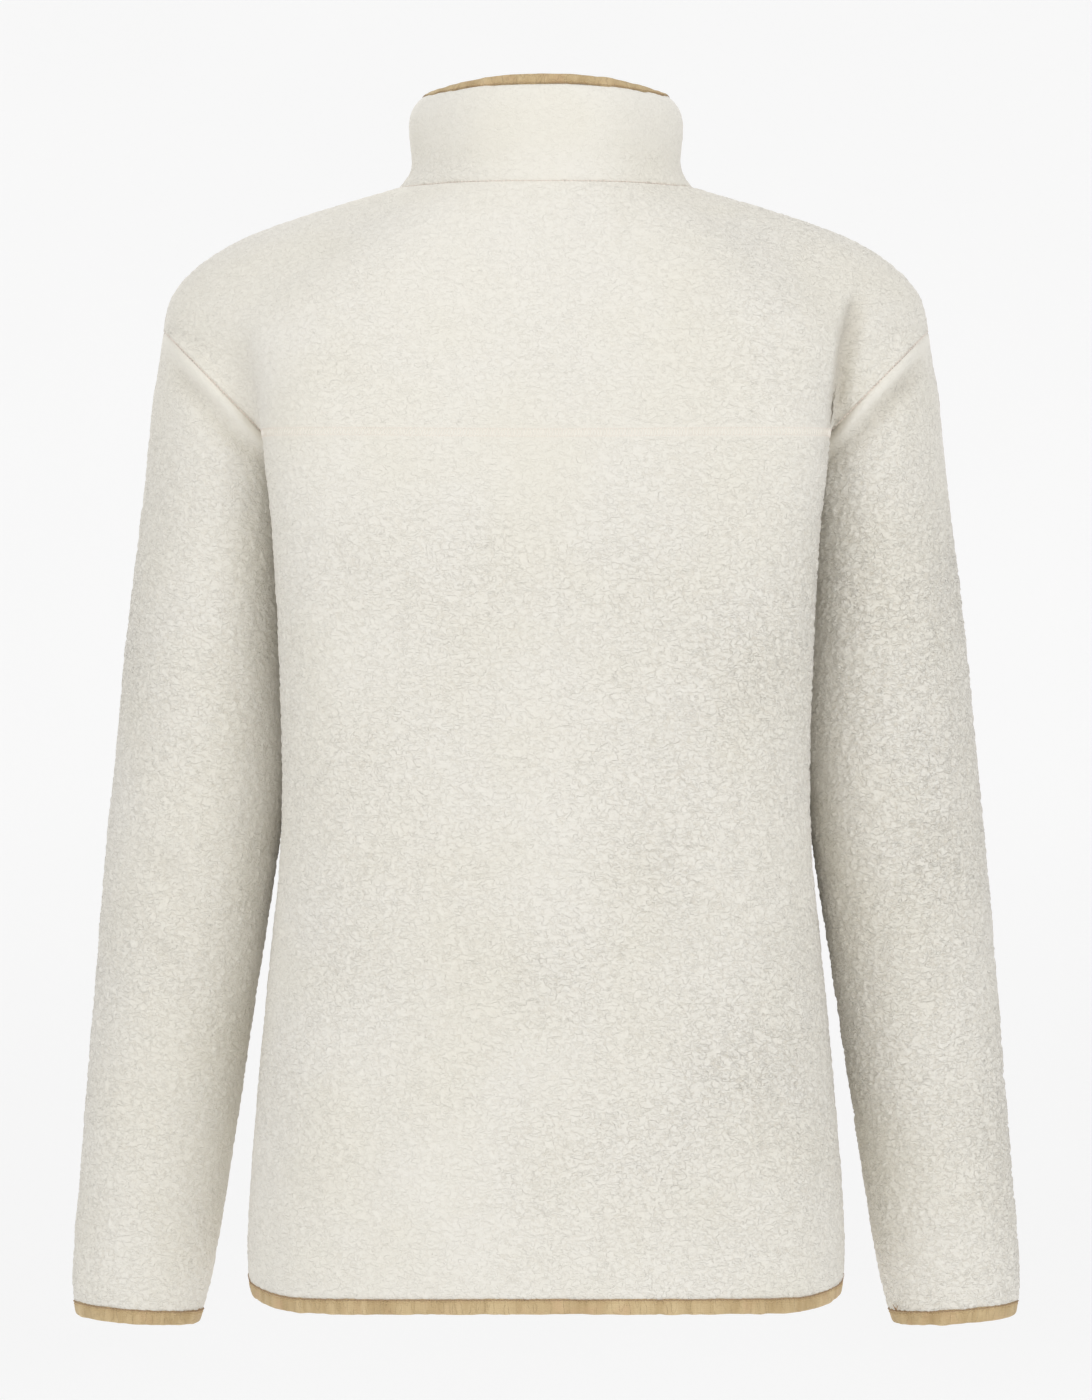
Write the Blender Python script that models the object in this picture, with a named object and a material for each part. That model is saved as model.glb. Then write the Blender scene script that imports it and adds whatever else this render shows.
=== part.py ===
"""Sherpa fleece jacket in the form it has when worn, with nobody in it.

Metres, +Z up, the front towards -Y, so +X is the wearer's left. The origin lies in the
middle of the neck, level with the two side points of the neck seam. Every cloth piece is
a closed wall worked out from sections of the garment. Pieces that are sewn together stand
SEAM_GAP apart, and a binding is made from the points of the cloth that it folds round.
"""

import math

import bmesh
import bpy
import numpy as np
from mathutils import Matrix, Vector

SEAM_GAP = 0.0003
CLOTH = 0.0030

BINDING_WIDTH = 0.0080
BINDING_THICKNESS = 0.0010
BOUND_CLOTH = 0.0012  # the fleece pressed flat inside a binding
BOUND_DIP = 0.0015  # how far a binding presses the pile in from outside
BOUND_EASE = 0.0030  # length over which the pile swells again beside a binding

# The outer end of every section, from the neck's side point along the shoulder line to the
# shoulder's end. Below that the ends follow the armhole, and then the side line to the hem.
SHOULDER_COLUMNS = ("level", "x")
SHOULDER_LINE = (
    (-0.0006, 0.0915),
    (-0.0100, 0.1245),
    (-0.0198, 0.1560),
    (-0.0291, 0.1815),
    (-0.0391, 0.2015),
    (-0.0502, 0.2172),
    (-0.0608, 0.2275),
    (-0.0694, 0.2329),
    (-0.0806, 0.2361),
    (-0.0893, 0.2371),
)
ARMHOLE_TOP = (0.2371, -0.0893)  # x, z
ARMHOLE_FOOT = (0.1520, -0.1760)
ARMHOLE_HALF_DEPTH = 0.0690
EDGE_Y = -0.0050  # the shoulder line, the armhole's middle and the side seam

SIDE_COLUMNS = ("level", "x")
SIDE_LINE = (
    (-0.1760, 0.1520),
    (-0.1950, 0.1508),
    (-0.2150, 0.1510),
    (-0.2560, 0.1528),
    (-0.3110, 0.1555),
    (-0.3510, 0.1575),
    (-0.4050, 0.1615),
    (-0.4500, 0.1680),
    (-0.5040, 0.1735),
    (-0.5600, 0.1787),
    (-0.6160, 0.1831),
    (-0.6600, 0.1853),
    (-0.6892, 0.1838),
)
NECK_LEVEL = -0.0006
YOKE_LEVEL = -0.1559
HEM_LEVEL = -0.6892
UNCURLED_LEVEL = -0.4400  # the folds beside the arms have run out here
UNCURLING_HEIGHT = 0.1500  # the stretch above it over which they run out

# Where the body's and the sleeve's rows of points stand.
SHOULDER_LEVELS = (-0.0006, -0.0070, -0.0145, -0.0235, -0.0335, -0.0450, -0.0570, -0.0710, -0.0893)
ARMHOLE_TURNS = (28, 52, 76, 100)  # degrees round the armhole from its top, above the yoke seam
FOOT_TURNS = (140, 158, 180)  # and below the yoke seam
SIDE_LEVELS = (-0.195, -0.222, -0.256, -0.300, -0.350, -0.400, -0.440, -0.490, -0.545, -0.600, -0.645)
SLEEVE_ROWS = (0, 0.5, 1, 1.6, 2.3, 3, 3.8, 4.6, 5.5, 6.5, 7.5, 8.5, 9.5, 10.4, 11.2)  # in table rows

# Half sections of the back and of one front. A section leaves the middle square to it, runs
# over the fold that stands beside the arm, and ends at its level on the shoulder line, the
# armhole or the side line. Turns are in degrees from straight sideways.
SECTION_COLUMNS = (
    "level", "middle_y", "middle_z", "fold_x", "fold_y", "fold_z", "fold_turn", "edge_turn", "crease",
)
BACK_SECTIONS = (
    (-0.0006, 0.0680, -0.0025, 0.0640, 0.0440, -0.0015, 44, 90, 0.0000),
    (-0.0110, 0.0800, -0.0290, 0.0900, 0.0560, -0.0200, 45, 90, 0.0000),
    (-0.0240, 0.0895, -0.0520, 0.1190, 0.0650, -0.0390, 46, 90, 0.0000),
    (-0.0430, 0.0975, -0.0750, 0.1500, 0.0710, -0.0610, 45, 90, 0.0000),
    (-0.0650, 0.1030, -0.0940, 0.1730, 0.0740, -0.0810, 44, 90, 0.0000),
    (-0.0893, 0.1068, -0.1110, 0.1800, 0.0765, -0.0990, 42, 90, 0.0012),
    (-0.0950, 0.1076, -0.1156, 0.1790, 0.0772, -0.1045, 50, 64, 0.0018),
    (-0.1080, 0.1095, -0.1260, 0.1768, 0.0785, -0.1170, 58, 36, 0.0030),
    (-0.1327, 0.1125, -0.1410, 0.1742, 0.0790, -0.1380, 70, 14, 0.0035),
    (-0.1559, 0.1145, -0.1580, 0.1722, 0.0775, -0.1565, 84, 84, 0.0015),
    (-0.1680, 0.1153, -0.1700, 0.1712, 0.0745, -0.1690, 90, 100, 0.0000),
    (-0.1760, 0.1158, -0.1790, 0.1700, 0.0720, -0.1775, 90, 92, 0.0000),
    (-0.2150, 0.1165, -0.2155, 0.1665, 0.0650, -0.2150, 90, 90, 0.0000),
    (-0.2560, 0.1160, -0.2560, 0.1640, 0.0580, -0.2560, 90, 90, 0.0000),
    (-0.3110, 0.1140, -0.3110, 0.1622, 0.0500, -0.3110, 90, 90, 0.0000),
    (-0.3510, 0.1130, -0.3510, 0.1612, 0.0450, -0.3510, 90, 90, 0.0000),
    (-0.4050, 0.1140, -0.4050, 0.1622, 0.0390, -0.4050, 90, 90, 0.0000),
    (-0.4500, 0.1160, -0.4490, 0.1660, 0.0340, -0.4500, 88, 90, 0.0000),
    (-0.5040, 0.1180, -0.5020, 0.1710, 0.0320, -0.5035, 86, 90, 0.0000),
    (-0.5600, 0.1205, -0.5570, 0.1762, 0.0320, -0.5595, 86, 90, 0.0000),
    (-0.6160, 0.1230, -0.6120, 0.1806, 0.0320, -0.6155, 86, 90, 0.0000),
    (-0.6600, 0.1240, -0.6550, 0.1828, 0.0320, -0.6595, 86, 90, 0.0000),
    (-0.6892, 0.1235, -0.6830, 0.1813, 0.0320, -0.6888, 86, 90, 0.0000),
)
FRONT_SECTIONS = (
    (-0.0006, 0.0780, -0.0540, 0.0640, 0.0580, -0.0290, 44, 90, 0.0000),
    (-0.0110, 0.0865, -0.0790, 0.0900, 0.0680, -0.0470, 45, 90, 0.0000),
    (-0.0240, 0.0940, -0.1020, 0.1190, 0.0745, -0.0640, 44, 90, 0.0000),
    (-0.0430, 0.1005, -0.1230, 0.1480, 0.0785, -0.0800, 40, 90, 0.0000),
    (-0.0650, 0.1045, -0.1370, 0.1670, 0.0800, -0.0940, 37, 90, 0.0000),
    (-0.0893, 0.1080, -0.1480, 0.1750, 0.0805, -0.1070, 36, 90, 0.0000),
    (-0.0950, 0.1086, -0.1504, 0.1745, 0.0808, -0.1115, 40, 64, 0.0000),
    (-0.1080, 0.1100, -0.1560, 0.1725, 0.0815, -0.1225, 48, 38, 0.0008),
    (-0.1327, 0.1125, -0.1660, 0.1690, 0.0820, -0.1430, 60, 22, 0.0015),
    (-0.1559, 0.1145, -0.1760, 0.1665, 0.0800, -0.1612, 80, 84, 0.0008),
    (-0.1680, 0.1152, -0.1830, 0.1645, 0.0765, -0.1725, 88, 100, 0.0000),
    (-0.1760, 0.1158, -0.1890, 0.1636, 0.0740, -0.1805, 90, 92, 0.0000),
    (-0.2150, 0.1175, -0.2200, 0.1615, 0.0680, -0.2165, 90, 90, 0.0000),
    (-0.2560, 0.1180, -0.2570, 0.1605, 0.0630, -0.2565, 90, 90, 0.0000),
    (-0.3110, 0.1165, -0.3110, 0.1598, 0.0570, -0.3110, 90, 90, 0.0000),
    (-0.3510, 0.1145, -0.3510, 0.1595, 0.0530, -0.3510, 90, 90, 0.0000),
    (-0.4050, 0.1135, -0.4050, 0.1612, 0.0480, -0.4050, 90, 90, 0.0000),
    (-0.4500, 0.1140, -0.4500, 0.1652, 0.0440, -0.4500, 88, 90, 0.0000),
    (-0.5040, 0.1160, -0.5040, 0.1700, 0.0420, -0.5040, 86, 90, 0.0000),
    (-0.5600, 0.1180, -0.5600, 0.1752, 0.0420, -0.5600, 86, 90, 0.0000),
    (-0.6160, 0.1200, -0.6160, 0.1795, 0.0420, -0.6160, 86, 90, 0.0000),
    (-0.6600, 0.1210, -0.6600, 0.1817, 0.0420, -0.6600, 86, 90, 0.0000),
    (-0.6892, 0.1205, -0.6890, 0.1802, 0.0420, -0.6892, 86, 90, 0.0000),
)
LEVEL_STEP, SHARE_STEP = 2e-4, 2e-3  # steps over a body surface for its slopes
ALONG_STEP, TURN_STEP = 1e-3, 0.5  # the same over a sleeve, the turn in degrees
FOLD_SHARE = 0.62  # how far along a section its fold stands
PULL = 1.12  # how far a section runs on straight at each end of a curve
FOLD_PULL, SIDE_PULL = 0.80, 1.90  # below the armhole the fold curls in behind the arm
CREASE_SHARE = 0.17  # where a crease is deepest, from its fold out to the section's end
CREASE_END = 0.45  # from here on a crease fades out
CREASE_BY_SIDE = {1: 0.6, -1: 1.0}  # the crease by the wearer's right arm is the deeper one

# Soft hollows that run down the cloth. An x is where the hollow lies at its upper and lower end.
HOLLOW_COLUMNS = ("face", "x_upper", "z_upper", "x_lower", "z_lower", "half_width", "depth")
HOLLOWS = (
    (1, -0.075, -0.150, -0.088, -0.430, 0.026, 0.0022),
    (1, 0.108, -0.200, 0.105, -0.420, 0.024, 0.0018),
    (1, 0.100, -0.440, 0.112, -0.700, 0.026, 0.0024),
    (1, -0.100, -0.420, -0.120, -0.760, 0.045, 0.0060),
    (1, 0.020, -0.160, 0.006, -0.360, 0.018, 0.0008),
    (-1, 0.085, -0.180, 0.080, -0.450, 0.025, 0.0020),
    (-1, -0.092, -0.220, -0.085, -0.520, 0.028, 0.0024),
    (-1, 0.105, -0.480, 0.115, -0.740, 0.030, 0.0030),
)
HOLLOW_FREE_DEPTH = (0.015, 0.065)  # from the side seam's depth, where hollows begin and are whole

# Rings of a sleeve: its outermost and innermost points, its middle from front to back, and
# half of its depth. The first ring is the armhole.
SLEEVE_COLUMNS = ("outer_x", "outer_z", "inner_x", "inner_z", "middle_y", "half_depth")
SLEEVE_RINGS = (
    (0.2371, -0.0893, 0.1520, -0.1760, -0.0050, 0.0690),
    (0.2402, -0.1110, 0.1546, -0.1860, -0.0065, 0.0680),
    (0.2443, -0.1345, 0.1560, -0.1975, -0.0080, 0.0672),
    (0.2490, -0.1820, 0.1572, -0.2250, -0.0105, 0.0660),
    (0.2582, -0.2560, 0.1582, -0.2810, -0.0135, 0.0640),
    (0.2632, -0.3010, 0.1590, -0.3230, -0.0150, 0.0615),
    (0.2680, -0.3500, 0.1620, -0.3680, -0.0185, 0.0580),
    (0.2738, -0.4040, 0.1678, -0.4180, -0.0225, 0.0545),
    (0.2792, -0.4620, 0.1768, -0.4740, -0.0275, 0.0505),
    (0.2861, -0.5430, 0.1892, -0.5540, -0.0335, 0.0455),
    (0.2926, -0.6195, 0.2008, -0.6290, -0.0385, 0.0405),
    (0.2970, -0.6690, 0.2094, -0.6770, -0.0420, 0.0362),
    (0.2971, -0.6870, 0.2135, -0.6935, -0.0435, 0.0345),
    (0.2957, -0.7026, 0.2173, -0.7080, -0.0445, 0.0335),
)

# The collar by its height up the cloth: its size against the neck seam at the side, at the
# back and at the front, and the share of its whole rise.
COLLAR_COLUMNS = ("height", "side", "back", "front", "rise")
COLLAR_PROFILE = (
    (0.00, 1.000, 1.000, 1.000, 0.000),
    (0.08, 0.955, 0.985, 0.985, 0.085),
    (0.18, 0.922, 0.974, 0.972, 0.185),
    (0.30, 0.911, 0.970, 0.962, 0.310),
    (0.42, 0.918, 0.970, 0.956, 0.430),
    (0.58, 0.928, 0.968, 0.950, 0.590),
    (0.74, 0.926, 0.958, 0.938, 0.745),
    (0.88, 0.894, 0.918, 0.905, 0.885),
    (1.00, 0.826, 0.868, 0.862, 1.000),
)
COLLAR_BACK_RISE = 0.0655
COLLAR_SIDE_RISE = 0.0572
COLLAR_FRONT_RISE = 0.0810
COLLAR_LENGTH = 0.0680  # along the cloth, from the neck seam to the top edge

ZIP_GAP = 0.0060  # from the middle to the edge of each front
TAPE_INNER = 0.0028
TAPE_SHARE = 0.033  # the tape's outer edge, as a share of the way across a front
TAPE_THICKNESS = 0.0008
TAPE_CLEARANCE = 0.0004  # between the inside of a front and the tape
CHAIN_HALF_WIDTH = 0.0024
CHAIN_THICKNESS = 0.0022
CHAIN_END = 0.0110  # how far the chain stops short of the hem's edge
CHAIN_TOP_END = 0.0110  # how far the chain stops short of the collar's edge
BOX_LENGTH = 0.0100
BOX_THICKNESS = 0.0044

SLIDER_WIDTH = 0.0092
SLIDER_LENGTH = 0.0110
SLIDER_PLATE = 0.0012
BRIDGE_WIDTH = 0.0040
BRIDGE_LENGTH = 0.0018
HINGE_BELOW_BRIDGE = 0.0050
HINGE_ABOVE_PLATE = 0.0017
HINGE_RADIUS = 0.0008
LUG_SIZE = (0.0020, 0.0034, 0.0042)  # across, out of the plate, along the zip
PULL_WIDTH = 0.0068
PULL_LENGTH = 0.0240
PULL_THICKNESS = 0.0014
PULL_HEAD = 0.0012  # above the hinge's axis
PULL_SLOT = (0.0036, 0.0062)
PULL_HOLE_RADIUS = 0.0013

BODY_HALF_COLUMNS = 11
FRONT_COLUMNS = 10
SLEEVE_COLUMNS_ROUND = 22

FLEECE_COLOUR = (0.855, 0.815, 0.725)
BINDING_COLOUR = (0.640, 0.465, 0.270)
TAPE_COLOUR = (0.700, 0.560, 0.390)
CHAIN_COLOUR = (0.760, 0.640, 0.480)
METAL_COLOUR = (0.620, 0.560, 0.470)


def clear_scene():
    for obj in list(bpy.data.objects):
        bpy.data.objects.remove(obj, do_unlink=True)


def material(name, colour, roughness, metallic=0.0):
    made = bpy.data.materials.new(name)
    made.use_nodes = True
    shader = made.node_tree.nodes["Principled BSDF"]
    shader.inputs["Base Color"].default_value = (*colour, 1.0)
    shader.inputs["Roughness"].default_value = roughness
    shader.inputs["Metallic"].default_value = metallic
    return made


def smooth_column(rows, names, name, at, key):
    """One column of a table read at any value of its key column, on a smooth curve through its rows."""
    table = np.array(rows, float)
    keys = table[:, names.index(key)] if key else np.linspace(0.0, 1.0, len(table))
    values = table[:, names.index(name)]
    if keys[0] > keys[-1]:
        keys, values = keys[::-1], values[::-1]
    gaps = np.diff(keys)
    rates = np.diff(values) / gaps
    slopes = np.empty_like(values)
    slopes[0], slopes[-1] = rates[0], rates[-1]
    before, after = rates[:-1], rates[1:]
    weight = gaps[1:] / (gaps[:-1] + gaps[1:])
    slopes[1:-1] = np.where(before * after > 0, weight * before + (1 - weight) * after, 0.0)
    at = np.clip(np.asarray(at, float), keys[0], keys[-1])
    cell = np.clip(np.searchsorted(keys, at, side="right") - 1, 0, len(gaps) - 1)
    t = (at - keys[cell]) / gaps[cell]
    start_rate, end_rate = slopes[cell] * gaps[cell], slopes[cell + 1] * gaps[cell]
    return hermite(values[cell], start_rate, values[cell + 1], end_rate, t)


def hermite(start, start_rate, end, end_rate, t):
    t2 = t * t
    t3 = t2 * t
    return (
        start * (2 * t3 - 3 * t2 + 1)
        + start_rate * (t3 - 2 * t2 + t)
        + end * (3 * t2 - 2 * t3)
        + end_rate * (t3 - t2)
    )


def smooth_step(t):
    t = np.clip(t, 0.0, 1.0)
    return t * t * (3 - 2 * t)


def unit(vectors):
    return vectors / np.maximum(np.linalg.norm(vectors, axis=-1, keepdims=True), 1e-12)


def edge_points(level, face):
    """Where sections end: on the shoulder line, round the armhole, then down the side line."""
    level = np.asarray(level, float)
    top_x, top_z = ARMHOLE_TOP
    foot_x, foot_z = ARMHOLE_FOOT
    share = np.clip((level - foot_z) / (top_z - foot_z), 0.0, 1.0)
    on_shoulder = smooth_column(SHOULDER_LINE, SHOULDER_COLUMNS, "x", level, "level")
    on_armhole = foot_x + (top_x - foot_x) * share
    on_side = smooth_column(SIDE_LINE, SIDE_COLUMNS, "x", level, "level")
    x = np.where(level >= top_z, on_shoulder, np.where(level >= foot_z, on_armhole, on_side))
    bulge = np.sqrt(np.clip(1.0 - (2.0 * share - 1.0) ** 2, 0.0, 1.0))
    return np.stack([x, EDGE_Y + face * ARMHOLE_HALF_DEPTH * bulge, level], axis=-1)


def body_points(level, across, face, side):
    """Points of the body's outer surface for every level and every share of the way across."""
    level = np.asarray(level, float)[:, None]
    across = np.asarray(across, float)[None, :]
    rows = BACK_SECTIONS if face > 0 else FRONT_SECTIONS

    def column(name):
        return smooth_column(rows, SECTION_COLUMNS, name, level, "level")

    start_x = 0.0 if face > 0 else ZIP_GAP
    middle = np.stack([np.full_like(level, start_x), face * column("middle_y"), column("middle_z")], -1)
    fold = np.stack([column("fold_x"), face * column("fold_y"), column("fold_z")], -1)
    edge = edge_points(level, face)
    turn = np.radians(column("fold_turn"))
    last_turn = np.radians(column("edge_turn"))
    first = np.linalg.norm(fold - middle, axis=-1)[..., None]
    second = np.linalg.norm(edge - fold, axis=-1)[..., None]
    fall = (edge - middle)[..., 2:3] / (first + second)
    ahead = np.broadcast_to(np.array([1.0, 0.0, 0.0]), middle.shape)
    at_fold = np.concatenate([np.cos(turn)[..., None], -face * np.sin(turn)[..., None], fall], -1)
    at_edge = np.stack([np.cos(last_turn), -face * np.sin(last_turn), np.zeros_like(last_turn)], -1)
    inward = (across / FOLD_SHARE)[..., None]
    outward = ((across - FOLD_SHARE) / (1.0 - FOLD_SHARE))[..., None]
    curl = smooth_step((YOKE_LEVEL - level) / (YOKE_LEVEL - ARMHOLE_FOOT[1]))
    curl = (curl * smooth_step((level - UNCURLED_LEVEL) / UNCURLING_HEIGHT))[..., None]
    leave = second * (PULL + (FOLD_PULL - PULL) * curl)
    arrive = second * (PULL + (SIDE_PULL - PULL) * curl)
    to_fold = hermite(middle, ahead * first * PULL, fold, at_fold * first * PULL, inward)
    to_edge = hermite(fold, at_fold * leave, edge, at_edge * arrive, outward)
    points = np.where(inward <= 1.0, to_fold, to_edge)
    past_fold = np.clip(outward[..., 0], 0.0, 1.0)
    bite = past_fold / CREASE_SHARE * np.exp(1.0 - past_fold / CREASE_SHARE)
    bite *= 1.0 - smooth_step((past_fold - CREASE_END) / (1.0 - CREASE_END))
    points[..., 1] -= face * column("crease") * CREASE_BY_SIDE[side] * bite
    points[..., 0] *= side
    return with_hollows(points, face)


def with_hollows(points, face):
    """Presses in the soft hollows of one face."""
    begin, whole = HOLLOW_FREE_DEPTH
    for row in HOLLOWS:
        hollow = dict(zip(HOLLOW_COLUMNS, row))
        if hollow["face"] != face:
            continue
        down = (points[..., 2] - hollow["z_upper"]) / (hollow["z_lower"] - hollow["z_upper"])
        x_here = hollow["x_upper"] + (hollow["x_lower"] - hollow["x_upper"]) * down
        across = np.exp(-(((points[..., 0] - x_here) / hollow["half_width"]) ** 2))
        along = np.sin(math.pi * np.clip(down, 0.0, 1.0)) ** 2
        clear_of_edge = smooth_step((np.abs(points[..., 1] - EDGE_Y) - begin) / (whole - begin))
        points[..., 1] -= face * hollow["depth"] * across * along * clear_of_edge
    return points


def levels_of_body():
    """Levels of the body's rows, spaced along the shoulder, round the armhole and down the side."""
    middle = (ARMHOLE_TOP[1] + ARMHOLE_FOOT[1]) / 2
    reach = (ARMHOLE_TOP[1] - ARMHOLE_FOOT[1]) / 2
    armhole, foot = (middle + reach * np.cos(np.radians(turns)) for turns in (ARMHOLE_TURNS, FOOT_TURNS))
    hem = HEM_LEVEL + np.array([BINDING_WIDTH + BOUND_EASE, BINDING_WIDTH, 0.0])
    return np.concatenate([SHOULDER_LEVELS, armhole, [YOKE_LEVEL], foot, SIDE_LEVELS, hem])


def across_shares(count):
    """Shares across a half section, closer together round the fold beside the arm."""
    inner = count * 6 // 10
    to_fold = FOLD_SHARE * np.linspace(0.0, 1.0, inner + 1)
    to_edge = FOLD_SHARE + (1.0 - FOLD_SHARE) * np.linspace(0.0, 1.0, count - inner + 1)[1:] ** 1.3
    return np.concatenate([to_fold, to_edge])


def binding_press(distance):
    """How far the pile is pressed in, and the wall's thickness, at a distance from a bound edge."""
    eased = smooth_step((np.asarray(distance, float) - BINDING_WIDTH) / BOUND_EASE)
    return BOUND_DIP * (1.0 - eased), BOUND_CLOTH + (CLOTH - BOUND_CLOTH) * eased


def armhole_slope(side):
    """Unit vector up the slope of an armhole's plane, from its foot to its top."""
    return unit(np.array([side * (ARMHOLE_TOP[0] - ARMHOLE_FOOT[0]), 0.0, ARMHOLE_TOP[1] - ARMHOLE_FOOT[1]]))


def into_sleeve(side):
    """Unit vector square to an armhole's plane, out of the body."""
    slope = armhole_slope(side)
    return side * np.array([slope[2], 0.0, -slope[0]])


def armhole_outward(points, side):
    """Directions in the armhole's plane, square to its rim, away from its middle."""
    slope = armhole_slope(side)
    middle = np.array([
        side * (ARMHOLE_TOP[0] + ARMHOLE_FOOT[0]) / 2, EDGE_Y, (ARMHOLE_TOP[1] + ARMHOLE_FOOT[1]) / 2,
    ])
    half_length = math.dist(ARMHOLE_TOP, ARMHOLE_FOOT) / 2
    along = (points - middle) @ slope / half_length**2
    deep = (points[..., 1] - EDGE_Y) / ARMHOLE_HALF_DEPTH**2
    return unit(along[..., None] * slope + deep[..., None] * np.array([0.0, 1.0, 0.0]))


def half_surface(levels, shares, face, side):
    """Outer points and outward normals of half of a body surface, as far as its seams."""
    above, below = (np.clip(levels + step, HEM_LEVEL, NECK_LEVEL) for step in (LEVEL_STEP, -LEVEL_STEP))
    outer, inner = (np.clip(shares + step, 0.0, 1.0) for step in (SHARE_STEP, -SHARE_STEP))
    down = body_points(below, shares, face, side) - body_points(above, shares, face, side)
    across = body_points(levels, outer, face, side) - body_points(levels, inner, face, side)
    return body_points(levels, shares, face, side), unit(np.cross(across, down)) * face * side


def half_body(levels, shares, face, side):
    """Half of a body panel's grid, drawn back from its side seam, shoulder seam and armhole."""
    points, normals = half_surface(levels, shares, face, side)
    on_armhole = (levels < ARMHOLE_TOP[1] + 1e-6) & (levels > ARMHOLE_FOOT[1] - 1e-6)
    normals[on_armhole, -1] = armhole_outward(points[on_armhole, -1], side)
    if levels[0] == NECK_LEVEL:
        normals[0] = neck_normals(shares, face, side)
    shift = unit(points[:, -2] - points[:, -1])
    shift[on_armhole] = -into_sleeve(side)
    seam_ends = on_armhole & (np.abs(points[:, -1, 1] - EDGE_Y) < 1e-6)
    shift[seam_ends] += np.array([0.0, face, 0.0])
    points[:, -1] += shift * SEAM_GAP / 2
    return points, normals


def neck_normals(shares, face, side):
    """Directions half way between out of the body and out of the collar, along the neck seam."""
    _, body = half_surface(np.array([NECK_LEVEL]), shares, face, side)
    foot = collar_points([0.0, 0.02], shares, face, side)
    collar = np.cross(np.gradient(foot, axis=1)[:1], foot[1:] - foot[:1])
    collar *= np.sign((collar * foot[:1]).sum(-1, keepdims=True))
    halfway = (unit(body) + unit(collar))[0]
    halfway[shares == 1.0, 1] = 0.0
    return unit(halfway)


def trim_row(points, row, towards):
    """Draws a grid's first or last row back from its seam by half of the gap."""
    points[row] += unit(points[towards] - points[row]) * SEAM_GAP / 2


def wall(name, outer, normals, dip, thickness, finish, closed=False):
    """A closed wall: the outer grid pressed in by dip, and an inner grid one thickness further in.

    The rims are split into triangles along the same diagonal on every piece, so that two rims
    that face each other across a seam stay parallel.
    """
    dip = np.broadcast_to(dip, outer.shape[:2])[..., None]
    thickness = np.broadcast_to(thickness, outer.shape[:2])[..., None]
    skin = outer - normals * dip
    lining = skin - normals * thickness
    rows, columns = outer.shape[:2]
    span = columns if closed else columns - 1
    points = np.concatenate([skin.reshape(-1, 3), lining.reshape(-1, 3)])
    back = rows * columns
    faces = []
    for r in range(rows - 1):
        for c in range(span):
            n = (c + 1) % columns
            a, b, d, e = r * columns + c, r * columns + n, (r + 1) * columns + n, (r + 1) * columns + c
            faces.append((a, b, d, e))
            faces.append((back + e, back + d, back + b, back + a))
    for c in range(span):
        n = (c + 1) % columns
        low = (rows - 1) * columns
        faces += [(n, c, back + n), (c, back + c, back + n)]
        faces += [(low + c, low + n, back + low + n), (low + c, back + low + n, back + low + c)]
    if not closed:
        for r in range(rows - 1):
            left, left_next = r * columns, (r + 1) * columns
            right, right_next = left + columns - 1, left_next + columns - 1
            faces += [(left, left_next, back + left_next), (left, back + left_next, back + left)]
            faces += [(right_next, right, back + right_next), (right, back + right, back + right_next)]
    return mesh_object(name, points, faces, finish)


def mesh_object(name, points, faces, finish, sharp_angle=50.0):
    """A mesh object with its faces turned outwards, shaded smooth but for its real edges."""
    mesh = bpy.data.meshes.new(name)
    mesh.from_pydata([tuple(map(float, p)) for p in points], [], faces)
    if signed_volume(mesh) < 0:
        mesh.flip_normals()
    mesh.materials.append(finish)
    mesh.shade_smooth()
    mesh.set_sharp_from_angle(angle=math.radians(sharp_angle))
    obj = bpy.data.objects.new(name, mesh)
    bpy.context.scene.collection.objects.link(obj)
    return obj


def signed_volume(mesh):
    mesh.calc_loop_triangles()
    corners = [[mesh.vertices[i].co for i in t.vertices] for t in mesh.loop_triangles]
    return sum(a.dot(b.cross(c)) for a, b, c in corners)


def back_piece(name, levels, finish, bound_hem):
    """A back panel from one side to the other, between its first and last levels."""
    shares = across_shares(BODY_HALF_COLUMNS)
    left_points, left_normals = half_body(levels, shares, 1, 1)
    right_points, right_normals = half_body(levels, shares, 1, -1)
    points = np.concatenate([left_points[:, ::-1], right_points[:, 1:]], axis=1)
    normals = np.concatenate([left_normals[:, ::-1], right_normals[:, 1:]], axis=1)
    trim_row(points, 0, 1)
    dip, thickness = 0.0, CLOTH
    if bound_hem:
        dip, thickness = (p[:, None] for p in binding_press(levels - HEM_LEVEL))
    else:
        trim_row(points, -1, -2)
    wall(name, points, normals, dip, thickness, finish)


def front_piece(name, side, finish):
    levels = levels_of_body()
    points, normals = half_body(levels, across_shares(FRONT_COLUMNS), -1, side)
    trim_row(points, 0, 1)
    dip, thickness = (p[:, None] for p in binding_press(levels - HEM_LEVEL))
    wall(name, points, normals, dip, thickness, finish)


def sleeve_points(along, round_turns, side):
    """Points of a sleeve's outer surface. A turn of 0 is its outermost line and 90 its back."""
    along = np.asarray(along, float)[:, None]

    def column(name):
        return smooth_column(SLEEVE_RINGS, SLEEVE_COLUMNS, name, along, None)

    swing = np.radians(np.asarray(round_turns, float))[None, :]
    middle_x = (column("outer_x") + column("inner_x")) / 2
    middle_z = (column("outer_z") + column("inner_z")) / 2
    x = middle_x + (column("outer_x") - middle_x) * np.cos(swing)
    z = middle_z + (column("outer_z") - middle_z) * np.cos(swing)
    y = column("middle_y") + column("half_depth") * np.sin(swing)
    return np.stack([side * x, y, z], -1)


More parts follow.
